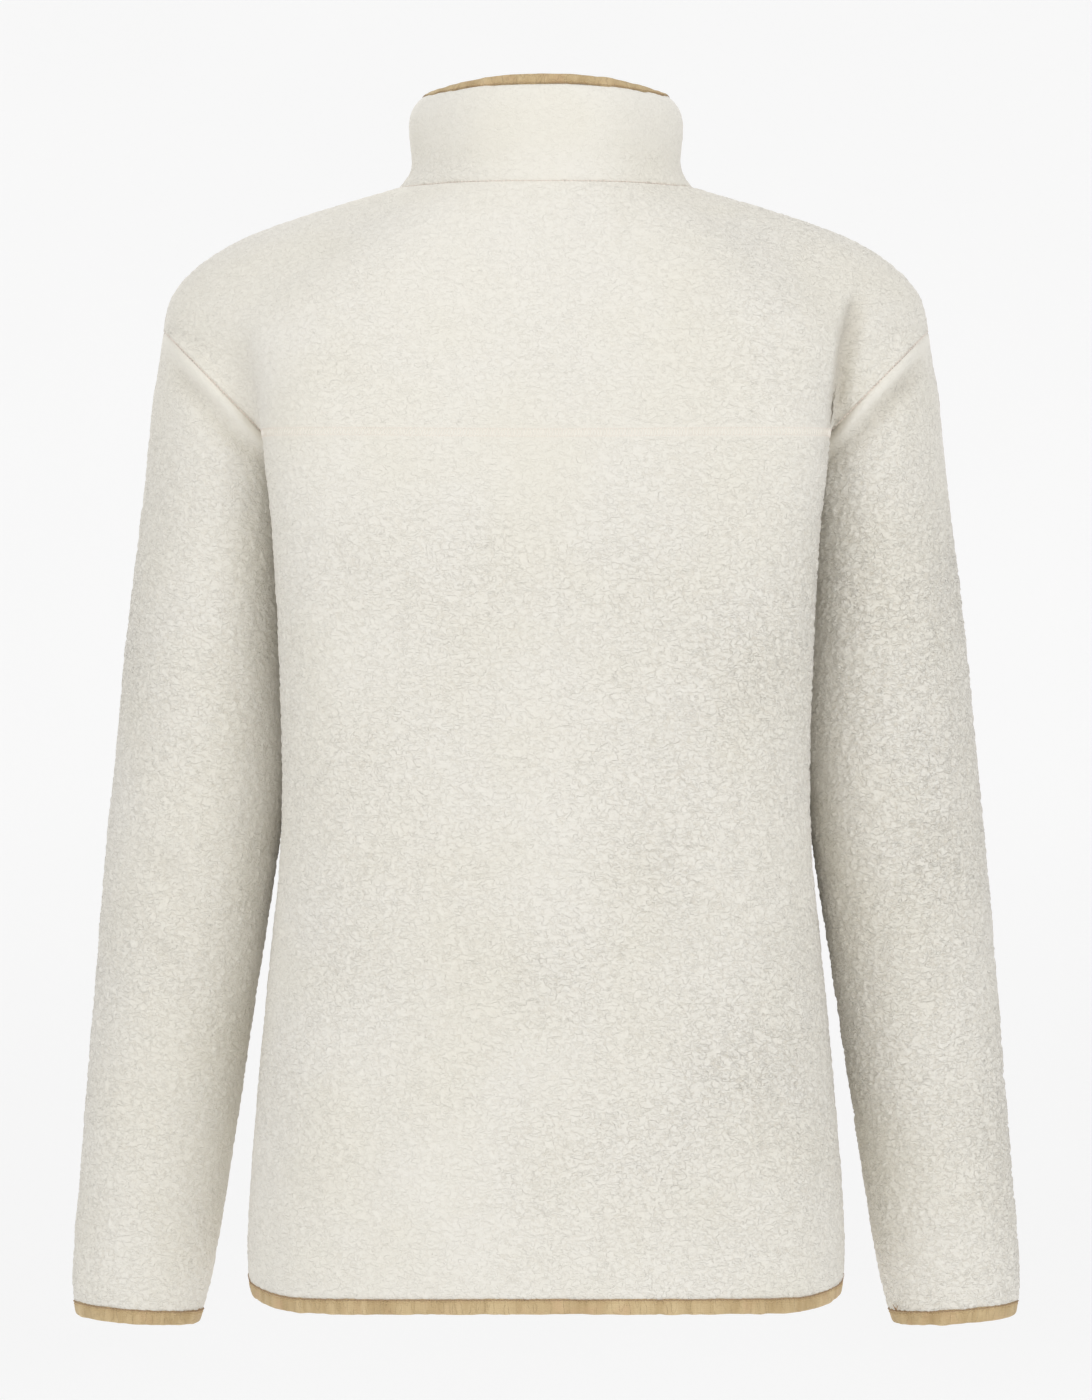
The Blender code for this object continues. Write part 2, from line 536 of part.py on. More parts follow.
def sleeve_grid(side):
    """A sleeve's rows and turns, with the distance of each row from the cuff's edge."""
    rings = len(SLEEVE_RINGS) - 1
    last_two = sleeve_points([1.0 - 1.0 / rings, 1.0], [90.0], side)[:, 0, 2]
    share_per_metre = 1.0 / rings / (last_two[0] - last_two[1])
    near_cuff = 1.0 - share_per_metre * np.array([BINDING_WIDTH + BOUND_EASE, BINDING_WIDTH, 0.0])
    along = np.concatenate([np.array(SLEEVE_ROWS) / rings, near_cuff])
    turns = np.arange(SLEEVE_COLUMNS_ROUND) * 360.0 / SLEEVE_COLUMNS_ROUND
    return along, turns, (1.0 - along) / share_per_metre


def sleeve_surface(side):
    """A sleeve's outer points, its outward normals and each row's distance from the cuff's edge."""
    along, turns, distance = sleeve_grid(side)
    above, below = (np.clip(along + step, 0.0, 1.0) for step in (-ALONG_STEP, ALONG_STEP))
    down = sleeve_points(below, turns, side) - sleeve_points(above, turns, side)
    round_it = sleeve_points(along, turns + TURN_STEP, side) - sleeve_points(along, turns - TURN_STEP, side)
    return sleeve_points(along, turns, side), unit(np.cross(down, round_it)) * side, distance


def sleeve_piece(name, side, finish):
    points, normals, distance = sleeve_surface(side)
    normals[0] = armhole_outward(points[0], side)
    points[0] += into_sleeve(side) * SEAM_GAP / 2
    dip, thickness = (p[:, None] for p in binding_press(distance))
    wall(name, points, normals, dip, thickness, finish, closed=True)


def collar_points(height, across, face, side):
    """Points of the collar's outer surface, from the neck seam up to its top edge."""
    height = np.asarray(height, float)[:, None]
    seam = body_points([NECK_LEVEL], across, face, side)
    edge = edge_points(np.array([[NECK_LEVEL]]), face)
    share_out = np.clip(np.abs(seam[..., 0]) / edge[..., 0], 0.0, 1.0)
    facing = np.sqrt(1.0 - share_out**2)

    def column(name):
        return smooth_column(COLLAR_PROFILE, COLLAR_COLUMNS, name, height, "height")

    full_rise = COLLAR_BACK_RISE if face > 0 else COLLAR_FRONT_RISE
    rise = COLLAR_SIDE_RISE + (full_rise - COLLAR_SIDE_RISE) * facing**2
    deep = column("back" if face > 0 else "front")
    squeeze = deep + (column("side") - deep) * share_out**2
    x = seam[..., 0] * (column("side") + (squeeze - column("side")) * 0.5)
    if face < 0:
        x = np.where(share_out < 2 * ZIP_GAP / edge[..., 0], side * np.abs(seam[..., 0]), x)
    y = EDGE_Y + (seam[..., 1] - EDGE_Y) * deep
    z = seam[..., 2] + rise * column("rise")
    return np.stack(np.broadcast_arrays(x, y, z), -1)


def round_the_neck(shares_front, shares_back, part_of):
    """Joins four quarters side by side, from the zip round the back of the neck to the zip."""
    quarters = (
        (-1, 1, shares_front, 1),
        (1, 1, shares_back, -1),
        (1, -1, shares_back, 1),
        (-1, -1, shares_front, -1),
    )
    parts = [part_of(face, side, shares)[:, ::order] for face, side, shares, order in quarters]
    return np.concatenate([parts[0]] + [part[:, 1:] for part in parts[1:]], axis=1)


def collar_strip(height):
    """The collar's grid from the zip round the back to the zip, with its outward normals."""
    shares = across_shares(FRONT_COLUMNS), across_shares(BODY_HALF_COLUMNS)
    points = round_the_neck(*shares, lambda face, side, at: collar_points(height, at, face, side))
    normals = unit(np.cross(np.gradient(points, axis=1), np.gradient(points, axis=0)))
    normals[0] = round_the_neck(*shares, lambda face, side, at: neck_normals(at, face, side)[None])[0]
    return points, normals


def collar_heights():
    top = 1.0 - np.array([BINDING_WIDTH + BOUND_EASE, BINDING_WIDTH, BINDING_WIDTH / 2, 0.0]) / COLLAR_LENGTH
    return np.concatenate([[0.0, 0.10, 0.24, 0.42, 0.62], top])


def collar_piece(finish):
    height = collar_heights()
    points, normals = collar_strip(height)
    trim_row(points, 0, 1)
    dip, thickness = (p[:, None] for p in binding_press((1.0 - height) * COLLAR_LENGTH))
    wall("collar", points, normals, dip, thickness, finish)


def binding(name, rows, normals, finish, closed):
    """Tape folded round an edge. rows and normals run from the tape's rim to the cloth's edge."""
    face = rows - normals * BOUND_DIP
    lining = face - normals * BOUND_CLOTH
    beyond = unit(face[-1] - face[-2])
    clear, out = SEAM_GAP, SEAM_GAP + BINDING_THICKNESS
    edge_out, edge_in, edge_normal = face[-1], lining[-1], normals[-1]
    rings = [face[i] + normals[i] * out for i in range(len(rows))]
    rings.append(edge_out + edge_normal * out * 0.3 + beyond * out)
    rings.append(edge_in - edge_normal * out * 0.3 + beyond * out)
    rings += [lining[i] - normals[i] * out for i in reversed(range(len(rows)))]
    rings += [lining[i] - normals[i] * clear for i in range(len(rows) - 1)]
    rings.append(edge_in - edge_normal * clear + beyond * clear)
    rings.append(edge_out + edge_normal * clear + beyond * clear)
    rings += [face[i] + normals[i] * clear for i in reversed(range(len(rows) - 1))]
    swept_tube(name, np.array(rings), finish, closed)


def swept_tube(name, rings, finish, closed):
    """A solid whose section's corners are rings, shape (corners, stations, 3)."""
    corners, stations = rings.shape[:2]
    faces = []
    for c in range(corners):
        d = (c + 1) % corners
        for s in range(stations if closed else stations - 1):
            n = (s + 1) % stations
            faces.append((c * stations + s, d * stations + s, d * stations + n, c * stations + n))
    if not closed:
        faces.append([c * stations for c in range(corners)][::-1])
        faces.append([c * stations + stations - 1 for c in range(corners)])
    return mesh_object(name, rings.reshape(-1, 3), faces, finish)


def hem_binding(finish):
    """The tape round the hem, from one front edge round the back to the other."""
    levels = HEM_LEVEL + np.array([BINDING_WIDTH, 0.0])
    shares = across_shares(FRONT_COLUMNS), across_shares(BODY_HALF_COLUMNS)
    points = round_the_neck(*shares, lambda face, side, at: half_surface(levels, at, face, side)[0])
    normals = round_the_neck(*shares, lambda face, side, at: half_surface(levels, at, face, side)[1])
    binding("hem_binding", points, normals, finish, closed=False)


def cuff_binding(name, side, finish):
    points, normals, _ = sleeve_surface(side)
    binding(name, points[-2:], normals[-2:], finish, closed=True)


def collar_binding(finish):
    points, normals = collar_strip(collar_heights())
    binding("collar_binding", points[-3:], normals[-3:], finish, closed=False)


def zip_lines():
    """The zip's middle line and a tape's outer line, from the hem up to the collar's top."""
    levels = levels_of_body()[:0:-1]
    lines = []
    for share in (0.0, TAPE_SHARE):
        body = body_points(levels, [share], -1, 1)[:, 0]
        collar = collar_points(collar_heights(), [share], -1, 1)[:, 0]
        lines.append(np.concatenate([body, collar]))
    lines[0][:, 0] = 0.0
    return lines


def zip_inward(middle):
    """Directions into the jacket at each point of the zip, long enough to keep offset lines parallel."""
    run = np.diff(middle, axis=0)
    square = unit(np.stack([np.zeros(len(run)), run[:, 2], -run[:, 1]], -1))
    before = np.concatenate([square[:1], square])
    after = np.concatenate([square, square[-1:]])
    halfway = unit(before + after)
    return halfway / (halfway * after).sum(-1, keepdims=True)


def zip_distances(middle):
    """How far each point of the zip is from the hem's edge and from the collar's."""
    steps = np.linalg.norm(np.diff(middle, axis=0), axis=1)
    run = np.concatenate([[0.0], np.cumsum(steps)])
    return run, run[-1] - run


def tape_depth(middle):
    """How far below the cloth's surface the tapes lie: under the cloth, and deeper under the bindings."""
    from_end = np.minimum(*zip_distances(middle))
    bound = from_end < BINDING_WIDTH + BOUND_EASE + 1e-4
    under_binding = BOUND_DIP + BOUND_CLOTH + SEAM_GAP + BINDING_THICKNESS
    return np.where(bound, under_binding, CLOTH) + TAPE_CLEARANCE


def zip_strip(name, near, far, depth, thickness, inward, finish):
    """A thin strip between two lines of the zip, set in by its depth."""
    face = [line + inward * depth[:, None] for line in (near, far)]
    rear = [line + inward * thickness for line in face]
    return swept_tube(name, np.array([face[0], face[1], rear[1], rear[0]]), finish, closed=False)


def zip_pieces(tape_finish, chain_finish, metal):
    """The tapes, the closed chain between them, and its box, slider and pull tab."""
    middle, outer = zip_lines()
    inward, depth = zip_inward(middle), tape_depth(middle)
    for name, side in (("zip_tape_left", 1), ("zip_tape_right", -1)):
        mirror = np.array([side, 1.0, 1.0])
        near = middle + np.array([side * TAPE_INNER, 0.0, 0.0])
        zip_strip(name, near, outer * mirror, depth, TAPE_THICKNESS, inward, tape_finish)
    from_hem, from_top = zip_distances(middle)
    chained = (from_hem > CHAIN_END - 1e-3) & (from_top > CHAIN_TOP_END - 1e-3)
    sides = [middle[chained] + np.array([x, 0.0, 0.0]) for x in (CHAIN_HALF_WIDTH, -CHAIN_HALF_WIDTH)]
    chain_depth = depth[chained] - (CHAIN_THICKNESS - TAPE_THICKNESS) / 2
    zip_strip("zip_chain", *sides, chain_depth, CHAIN_THICKNESS, inward[chained], chain_finish)
    heart = middle + inward * (depth + TAPE_THICKNESS / 2)[:, None]
    zip_bottom_box(metal, zip_place(heart, 0))
    zip_slider_and_pull(metal, zip_place(heart, int(np.flatnonzero(chained)[-1])))


def zip_place(heart, at):
    """Matrix at a point in the middle of the chain: X across, Y into the jacket, Z up the zip."""
    start = max(at - 1, 0)
    up = unit(heart[start + 1] - heart[start])
    axes = np.array([[1.0, 0.0, 0.0], [0.0, up[2], -up[1]], up]).T
    return Matrix.Translation(heart[at].tolist()) @ Matrix(axes.tolist()).to_4x4()


def block(name, low, high, finish):
    """A plain box between two corners, in its own frame."""
    corners = [(x, y, z) for x in (low[0], high[0]) for y in (low[1], high[1]) for z in (low[2], high[2])]
    faces = [(0, 1, 3, 2), (4, 6, 7, 5), (0, 4, 5, 1), (2, 3, 7, 6), (0, 2, 6, 4), (1, 5, 7, 3)]
    return mesh_object(name, corners, faces, finish)


def rod(name, radius, half_length, finish, sides=16):
    """A round rod along X through its own origin."""
    turns = np.arange(sides) * 2 * math.pi / sides
    circle = np.stack([np.zeros(sides), radius * np.cos(turns), radius * np.sin(turns)], -1)
    ends = np.array([[-half_length, 0.0, 0.0], [half_length, 0.0, 0.0]])
    return swept_tube(name, circle[:, None] + ends[None], finish, closed=False)


def combine(target, tool, operation):
    """Joins or cuts with another object, which is used up."""
    modifier = target.modifiers.new(operation.lower(), "BOOLEAN")
    modifier.operation = operation
    modifier.solver = "EXACT"
    modifier.object = tool
    graph = bpy.context.evaluated_depsgraph_get()
    mesh = bpy.data.meshes.new_from_object(target.evaluated_get(graph))
    target.modifiers.clear()
    target.data = mesh
    bpy.data.objects.remove(tool, do_unlink=True)


def round_corners(obj, radius, axis):
    """Rounds the edges of a block that run along one axis."""
    mesh = bmesh.new()
    mesh.from_mesh(obj.data)
    along = [e for e in mesh.edges if abs((e.verts[1].co - e.verts[0].co).normalized()[axis]) > 0.99]
    bmesh.ops.bevel(mesh, geom=along, offset=radius, segments=3, profile=0.5, affect="EDGES")
    mesh.to_mesh(obj.data)
    mesh.free()


def zip_bottom_box(finish, place):
    """The retainer box that holds the two tapes' ends together at the hem."""
    half, thick = CHAIN_HALF_WIDTH, BOX_THICKNESS / 2
    box = block("zip_bottom_box", (-half, -thick, 0.0), (half, thick, BOX_LENGTH), finish)
    round_corners(box, 0.0006, 2)
    box.matrix_world = place


def zip_slider_and_pull(finish, place):
    """The slider, closed at the top of the chain, and the pull tab that hangs from its lug."""
    plate = CHAIN_THICKNESS / 2 + SEAM_GAP
    outside = plate + SLIDER_PLATE
    top = SEAM_GAP + BRIDGE_LENGTH
    low = top - SLIDER_LENGTH
    half = SLIDER_WIDTH / 2
    slider = block("zip_slider", (-half, -outside, low), (half, -plate, top), finish)
    rear = block("rear_plate", (-half, plate, low), (half, outside, top), finish)
    round_corners(slider, 0.0012, 1)
    round_corners(rear, 0.0012, 1)
    half_bridge, bite = BRIDGE_WIDTH / 2, outside - SLIDER_PLATE / 2
    bridge = block("bridge", (-half_bridge, -bite, SEAM_GAP), (half_bridge, bite, top - 0.0002), finish)
    hinge = Vector((0.0, -outside - HINGE_ABOVE_PLATE, top - HINGE_BELOW_BRIDGE))
    wide, out, long = LUG_SIZE
    lug = block(
        "lug", (-wide / 2, -outside - out, hinge.z - long / 2), (wide / 2, -bite, hinge.z + long / 2), finish,
    )
    round_corners(lug, 0.0005, 0)
    bore = rod("bore", HINGE_RADIUS + SEAM_GAP, wide, finish)
    bore.location = hinge
    bpy.context.view_layer.update()
    combine(lug, bore, "DIFFERENCE")
    for piece in (bridge, rear, lug):
        combine(slider, piece, "UNION")
    slider.matrix_world = place
    zip_pull(finish, place @ Matrix.Translation(hinge))


def zip_pull(finish, place):
    """The pull tab: a slot round the lug, a round bar on the hinge's axis and an eye at its end."""
    arm, thick = PULL_WIDTH / 2, PULL_THICKNESS / 2
    pull = block("zip_pull", (-arm, -thick, -PULL_LENGTH), (arm, thick, PULL_HEAD), finish)
    round_corners(pull, 0.0014, 1)
    slot_half, slot_depth = PULL_SLOT[0] / 2, PULL_SLOT[1]
    slot = block("slot", (-slot_half, -0.01, -slot_depth), (slot_half, 0.01, 0.01), finish)
    combine(pull, slot, "DIFFERENCE")
    combine(pull, rod("bar", HINGE_RADIUS, arm - 0.0006, finish), "UNION")
    eye = rod("eye", PULL_HOLE_RADIUS, 0.01, finish)
    eye.rotation_euler = (0.0, 0.0, math.pi / 2)
    eye.location = (0.0, 0.0, -PULL_LENGTH + 2.2 * PULL_HOLE_RADIUS)
    bpy.context.view_layer.update()
    combine(pull, eye, "DIFFERENCE")
    pull.matrix_world = place


def build():
    clear_scene()
    fleece = material("sherpa_fleece", FLEECE_COLOUR, 0.95)
    tape = material("binding_tape", BINDING_COLOUR, 0.85)
    zip_tape = material("zip_tape", TAPE_COLOUR, 0.85)
    chain = material("zip_teeth", CHAIN_COLOUR, 0.45)
    metal = material("zip_hardware", METAL_COLOUR, 0.35, metallic=0.9)
    levels = levels_of_body()
    seam_row = int(np.argmin(np.abs(levels - YOKE_LEVEL)))
    back_piece("back_yoke", levels[: seam_row + 1], fleece, bound_hem=False)
    back_piece("back_panel", levels[seam_row:], fleece, bound_hem=True)
    front_piece("front_left", 1, fleece)
    front_piece("front_right", -1, fleece)
    sleeve_piece("sleeve_left", 1, fleece)
    sleeve_piece("sleeve_right", -1, fleece)
    collar_piece(fleece)
    collar_binding(tape)
    hem_binding(tape)
    cuff_binding("cuff_binding_left", 1, tape)
    cuff_binding("cuff_binding_right", -1, tape)
    zip_pieces(zip_tape, chain, metal)


build()
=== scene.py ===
"""The looks of a sherpa fleece jacket: its pile, bindings, sewing, zip and studio.

Every piece is worked out from the same sections of the garment as the frame's solids, only
finer, in metres, +Z up, with the front towards -Y. The file is laid out as an add-on whose
operators each build one group of pieces, and main() runs them in order.
"""

import itertools
import math

import bpy
import numpy as np
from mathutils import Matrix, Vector


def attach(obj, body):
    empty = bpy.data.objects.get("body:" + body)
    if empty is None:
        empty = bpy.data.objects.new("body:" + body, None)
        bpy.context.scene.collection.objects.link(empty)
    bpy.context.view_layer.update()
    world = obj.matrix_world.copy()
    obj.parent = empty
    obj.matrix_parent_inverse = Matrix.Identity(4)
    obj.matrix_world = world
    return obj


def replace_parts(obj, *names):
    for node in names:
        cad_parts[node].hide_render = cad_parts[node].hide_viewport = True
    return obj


bl_info = {
    "name": "Sherpa fleece jacket",
    "version": (1, 0, 0),
    "blender": (4, 5, 0),
    "location": "3D View > Sidebar > Jacket",
    "description": "Builds the fleece, bindings, sewing and zip of a worn sherpa jacket",
    "category": "Object",
}

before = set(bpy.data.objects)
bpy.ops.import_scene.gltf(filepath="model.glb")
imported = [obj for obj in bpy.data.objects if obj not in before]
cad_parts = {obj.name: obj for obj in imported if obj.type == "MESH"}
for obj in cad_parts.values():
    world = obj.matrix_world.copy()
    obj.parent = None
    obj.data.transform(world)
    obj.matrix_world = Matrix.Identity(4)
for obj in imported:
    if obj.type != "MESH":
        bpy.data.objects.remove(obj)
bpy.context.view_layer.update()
JACKET = "jacket"

# ------------------------------------------------------------------ sizes of the garment

SEAM_GAP = 0.0003
CLOTH = 0.0030
BINDING_WIDTH = 0.0080
BOUND_CLOTH = 0.0012
BOUND_DIP = 0.0015
BOUND_EASE = 0.0030

SHOULDER_COLUMNS = ("level", "x")
SHOULDER_LINE = (
    (-0.0006, 0.0915),
    (-0.0100, 0.1245),
    (-0.0198, 0.1560),
    (-0.0291, 0.1815),
    (-0.0391, 0.2015),
    (-0.0502, 0.2172),
    (-0.0608, 0.2275),
    (-0.0694, 0.2329),
    (-0.0806, 0.2361),
    (-0.0893, 0.2371),
)
ARMHOLE_TOP = (0.2371, -0.0893)  # x, z
ARMHOLE_FOOT = (0.1520, -0.1760)
ARMHOLE_HALF_DEPTH = 0.0690
EDGE_Y = -0.0050

SIDE_COLUMNS = ("level", "x")
SIDE_LINE = (
    (-0.1760, 0.1520),
    (-0.1950, 0.1508),
    (-0.2150, 0.1510),
    (-0.2560, 0.1528),
    (-0.3110, 0.1555),
    (-0.3510, 0.1575),
    (-0.4050, 0.1615),
    (-0.4500, 0.1680),
    (-0.5040, 0.1735),
    (-0.5600, 0.1787),
    (-0.6160, 0.1831),
    (-0.6600, 0.1853),
    (-0.6892, 0.1838),
)
NECK_LEVEL = -0.0006
YOKE_LEVEL = -0.1559
HEM_LEVEL = -0.6892
UNCURLED_LEVEL = -0.4400
UNCURLING_HEIGHT = 0.1500

SECTION_COLUMNS = (
    "level", "middle_y", "middle_z", "fold_x", "fold_y", "fold_z", "fold_turn", "edge_turn", "crease",
)
BACK_SECTIONS = (
    (-0.0006, 0.0680, -0.0025, 0.0640, 0.0440, -0.0015, 44, 90, 0.0000),
    (-0.0110, 0.0800, -0.0290, 0.0900, 0.0560, -0.0200, 45, 90, 0.0000),
    (-0.0240, 0.0895, -0.0520, 0.1190, 0.0650, -0.0390, 46, 90, 0.0000),
    (-0.0430, 0.0975, -0.0750, 0.1500, 0.0710, -0.0610, 45, 90, 0.0000),
    (-0.0650, 0.1030, -0.0940, 0.1730, 0.0740, -0.0810, 44, 90, 0.0000),
    (-0.0893, 0.1068, -0.1110, 0.1800, 0.0765, -0.0990, 42, 90, 0.0012),
    (-0.0950, 0.1076, -0.1156, 0.1790, 0.0772, -0.1045, 50, 64, 0.0018),
    (-0.1080, 0.1095, -0.1260, 0.1768, 0.0785, -0.1170, 58, 36, 0.0030),
    (-0.1327, 0.1125, -0.1410, 0.1742, 0.0790, -0.1380, 70, 14, 0.0035),
    (-0.1559, 0.1145, -0.1580, 0.1722, 0.0775, -0.1565, 84, 84, 0.0015),
    (-0.1680, 0.1153, -0.1700, 0.1712, 0.0745, -0.1690, 90, 100, 0.0000),
    (-0.1760, 0.1158, -0.1790, 0.1700, 0.0720, -0.1775, 90, 92, 0.0000),
    (-0.2150, 0.1165, -0.2155, 0.1665, 0.0650, -0.2150, 90, 90, 0.0000),
    (-0.2560, 0.1160, -0.2560, 0.1640, 0.0580, -0.2560, 90, 90, 0.0000),
    (-0.3110, 0.1140, -0.3110, 0.1622, 0.0500, -0.3110, 90, 90, 0.0000),
    (-0.3510, 0.1130, -0.3510, 0.1612, 0.0450, -0.3510, 90, 90, 0.0000),
    (-0.4050, 0.1140, -0.4050, 0.1622, 0.0390, -0.4050, 90, 90, 0.0000),
    (-0.4500, 0.1160, -0.4490, 0.1660, 0.0340, -0.4500, 88, 90, 0.0000),
    (-0.5040, 0.1180, -0.5020, 0.1710, 0.0320, -0.5035, 86, 90, 0.0000),
    (-0.5600, 0.1205, -0.5570, 0.1762, 0.0320, -0.5595, 86, 90, 0.0000),
    (-0.6160, 0.1230, -0.6120, 0.1806, 0.0320, -0.6155, 86, 90, 0.0000),
    (-0.6600, 0.1240, -0.6550, 0.1828, 0.0320, -0.6595, 86, 90, 0.0000),
    (-0.6892, 0.1235, -0.6830, 0.1813, 0.0320, -0.6888, 86, 90, 0.0000),
)
FRONT_SECTIONS = (
    (-0.0006, 0.0780, -0.0540, 0.0640, 0.0580, -0.0290, 44, 90, 0.0000),
    (-0.0110, 0.0865, -0.0790, 0.0900, 0.0680, -0.0470, 45, 90, 0.0000),
    (-0.0240, 0.0940, -0.1020, 0.1190, 0.0745, -0.0640, 44, 90, 0.0000),
    (-0.0430, 0.1005, -0.1230, 0.1480, 0.0785, -0.0800, 40, 90, 0.0000),
    (-0.0650, 0.1045, -0.1370, 0.1670, 0.0800, -0.0940, 37, 90, 0.0000),
    (-0.0893, 0.1080, -0.1480, 0.1750, 0.0805, -0.1070, 36, 90, 0.0000),
    (-0.0950, 0.1086, -0.1504, 0.1745, 0.0808, -0.1115, 40, 64, 0.0000),
    (-0.1080, 0.1100, -0.1560, 0.1725, 0.0815, -0.1225, 48, 38, 0.0008),
    (-0.1327, 0.1125, -0.1660, 0.1690, 0.0820, -0.1430, 60, 22, 0.0015),
    (-0.1559, 0.1145, -0.1760, 0.1665, 0.0800, -0.1612, 80, 84, 0.0008),
    (-0.1680, 0.1152, -0.1830, 0.1645, 0.0765, -0.1725, 88, 100, 0.0000),
    (-0.1760, 0.1158, -0.1890, 0.1636, 0.0740, -0.1805, 90, 92, 0.0000),
    (-0.2150, 0.1175, -0.2200, 0.1615, 0.0680, -0.2165, 90, 90, 0.0000),
    (-0.2560, 0.1180, -0.2570, 0.1605, 0.0630, -0.2565, 90, 90, 0.0000),
    (-0.3110, 0.1165, -0.3110, 0.1598, 0.0570, -0.3110, 90, 90, 0.0000),
    (-0.3510, 0.1145, -0.3510, 0.1595, 0.0530, -0.3510, 90, 90, 0.0000),
    (-0.4050, 0.1135, -0.4050, 0.1612, 0.0480, -0.4050, 90, 90, 0.0000),
    (-0.4500, 0.1140, -0.4500, 0.1652, 0.0440, -0.4500, 88, 90, 0.0000),
    (-0.5040, 0.1160, -0.5040, 0.1700, 0.0420, -0.5040, 86, 90, 0.0000),
    (-0.5600, 0.1180, -0.5600, 0.1752, 0.0420, -0.5600, 86, 90, 0.0000),
    (-0.6160, 0.1200, -0.6160, 0.1795, 0.0420, -0.6160, 86, 90, 0.0000),
    (-0.6600, 0.1210, -0.6600, 0.1817, 0.0420, -0.6600, 86, 90, 0.0000),
    (-0.6892, 0.1205, -0.6890, 0.1802, 0.0420, -0.6892, 86, 90, 0.0000),
)
FOLD_SHARE = 0.62
PULL = 1.12
FOLD_PULL, SIDE_PULL = 0.80, 1.90
CREASE_SHARE = 0.17
CREASE_END = 0.45
CREASE_BY_SIDE = {1: 0.6, -1: 1.0}

HOLLOW_COLUMNS = ("face", "x_upper", "z_upper", "x_lower", "z_lower", "half_width", "depth")
HOLLOWS = (
    (1, -0.075, -0.150, -0.088, -0.430, 0.026, 0.0022),
    (1, 0.108, -0.200, 0.105, -0.420, 0.024, 0.0018),
    (1, 0.100, -0.440, 0.112, -0.700, 0.026, 0.0024),
    (1, -0.100, -0.420, -0.120, -0.760, 0.045, 0.0060),
    (1, 0.020, -0.160, 0.006, -0.360, 0.018, 0.0008),
    (-1, 0.085, -0.180, 0.080, -0.450, 0.025, 0.0020),
    (-1, -0.092, -0.220, -0.085, -0.520, 0.028, 0.0024),
    (-1, 0.105, -0.480, 0.115, -0.740, 0.030, 0.0030),
)
HOLLOW_FREE_DEPTH = (0.015, 0.065)  # from EDGE_Y: where hollows begin, and where they are whole

SLEEVE_COLUMNS = ("outer_x", "outer_z", "inner_x", "inner_z", "middle_y", "half_depth")
SLEEVE_RINGS = (
    (0.2371, -0.0893, 0.1520, -0.1760, -0.0050, 0.0690),
    (0.2402, -0.1110, 0.1546, -0.1860, -0.0065, 0.0680),
    (0.2443, -0.1345, 0.1560, -0.1975, -0.0080, 0.0672),
    (0.2490, -0.1820, 0.1572, -0.2250, -0.0105, 0.0660),
    (0.2582, -0.2560, 0.1582, -0.2810, -0.0135, 0.0640),
    (0.2632, -0.3010, 0.1590, -0.3230, -0.0150, 0.0615),
    (0.2680, -0.3500, 0.1620, -0.3680, -0.0185, 0.0580),
    (0.2738, -0.4040, 0.1678, -0.4180, -0.0225, 0.0545),
    (0.2792, -0.4620, 0.1768, -0.4740, -0.0275, 0.0505),
    (0.2861, -0.5430, 0.1892, -0.5540, -0.0335, 0.0455),
    (0.2926, -0.6195, 0.2008, -0.6290, -0.0385, 0.0405),
    (0.2970, -0.6690, 0.2094, -0.6770, -0.0420, 0.0362),
    (0.2971, -0.6870, 0.2135, -0.6935, -0.0435, 0.0345),
    (0.2957, -0.7026, 0.2173, -0.7080, -0.0445, 0.0335),
)

COLLAR_COLUMNS = ("height", "side", "back", "front", "rise")
COLLAR_PROFILE = (
    (0.00, 1.000, 1.000, 1.000, 0.000),
    (0.08, 0.955, 0.985, 0.985, 0.085),
    (0.18, 0.922, 0.974, 0.972, 0.185),
    (0.30, 0.911, 0.970, 0.962, 0.310),
    (0.42, 0.918, 0.970, 0.956, 0.430),
    (0.58, 0.928, 0.968, 0.950, 0.590),
    (0.74, 0.926, 0.958, 0.938, 0.745),
    (0.88, 0.894, 0.918, 0.905, 0.885),
    (1.00, 0.826, 0.868, 0.862, 1.000),
)
COLLAR_BACK_RISE = 0.0655
COLLAR_SIDE_RISE = 0.0572
COLLAR_FRONT_RISE = 0.0810
COLLAR_LENGTH = 0.0680

ZIP_GAP = 0.0060
TAPE_SHARE = 0.033
TAPE_THICKNESS = 0.0008
TAPE_CLEARANCE = 0.0004
BINDING_THICKNESS = 0.0010
CHAIN_END = 0.0110  # from each end of the zip

# ------------------------------------------------------------------ sizes of the looks

HAIR = 2e-5  # between pieces that meet at a seam
LINING_STEP = 6  # rows and columns of the pile side for each one of the plain inner side
PROBES = (0.0, 0.3, 0.55, 0.75, 1.0)  # where a surface is measured to space its rows evenly
SLEEVE_PROBES, TURN_PROBES = (0.1, 0.3, 0.5), (0.0, 90.0, 180.0, 270.0)
SEAM_DIP, SEAM_DIP_WIDTH = 0.0007, 0.0014  # how the pile rolls in beside a seam
YOKE_BAND = 0.0031  # half of the flattened band that the yoke seam's ladder covers
YOKE_BAND_EASE, YOKE_BAND_DIP, YOKE_BAND_CALM = 0.0010, 0.0002, 0.8
FINE_EASE = 0.0012  # the pile swells over this length beside a binding
TINY = 1e-6
FAR = 1.0  # further than any piece is long
DENSE, LEVEL_PROBES = 1500, 5  # how finely a surface is measured to space its rows
SHARP_ANGLE, THREAD_SHARP_ANGLE = 70.0, 80.0

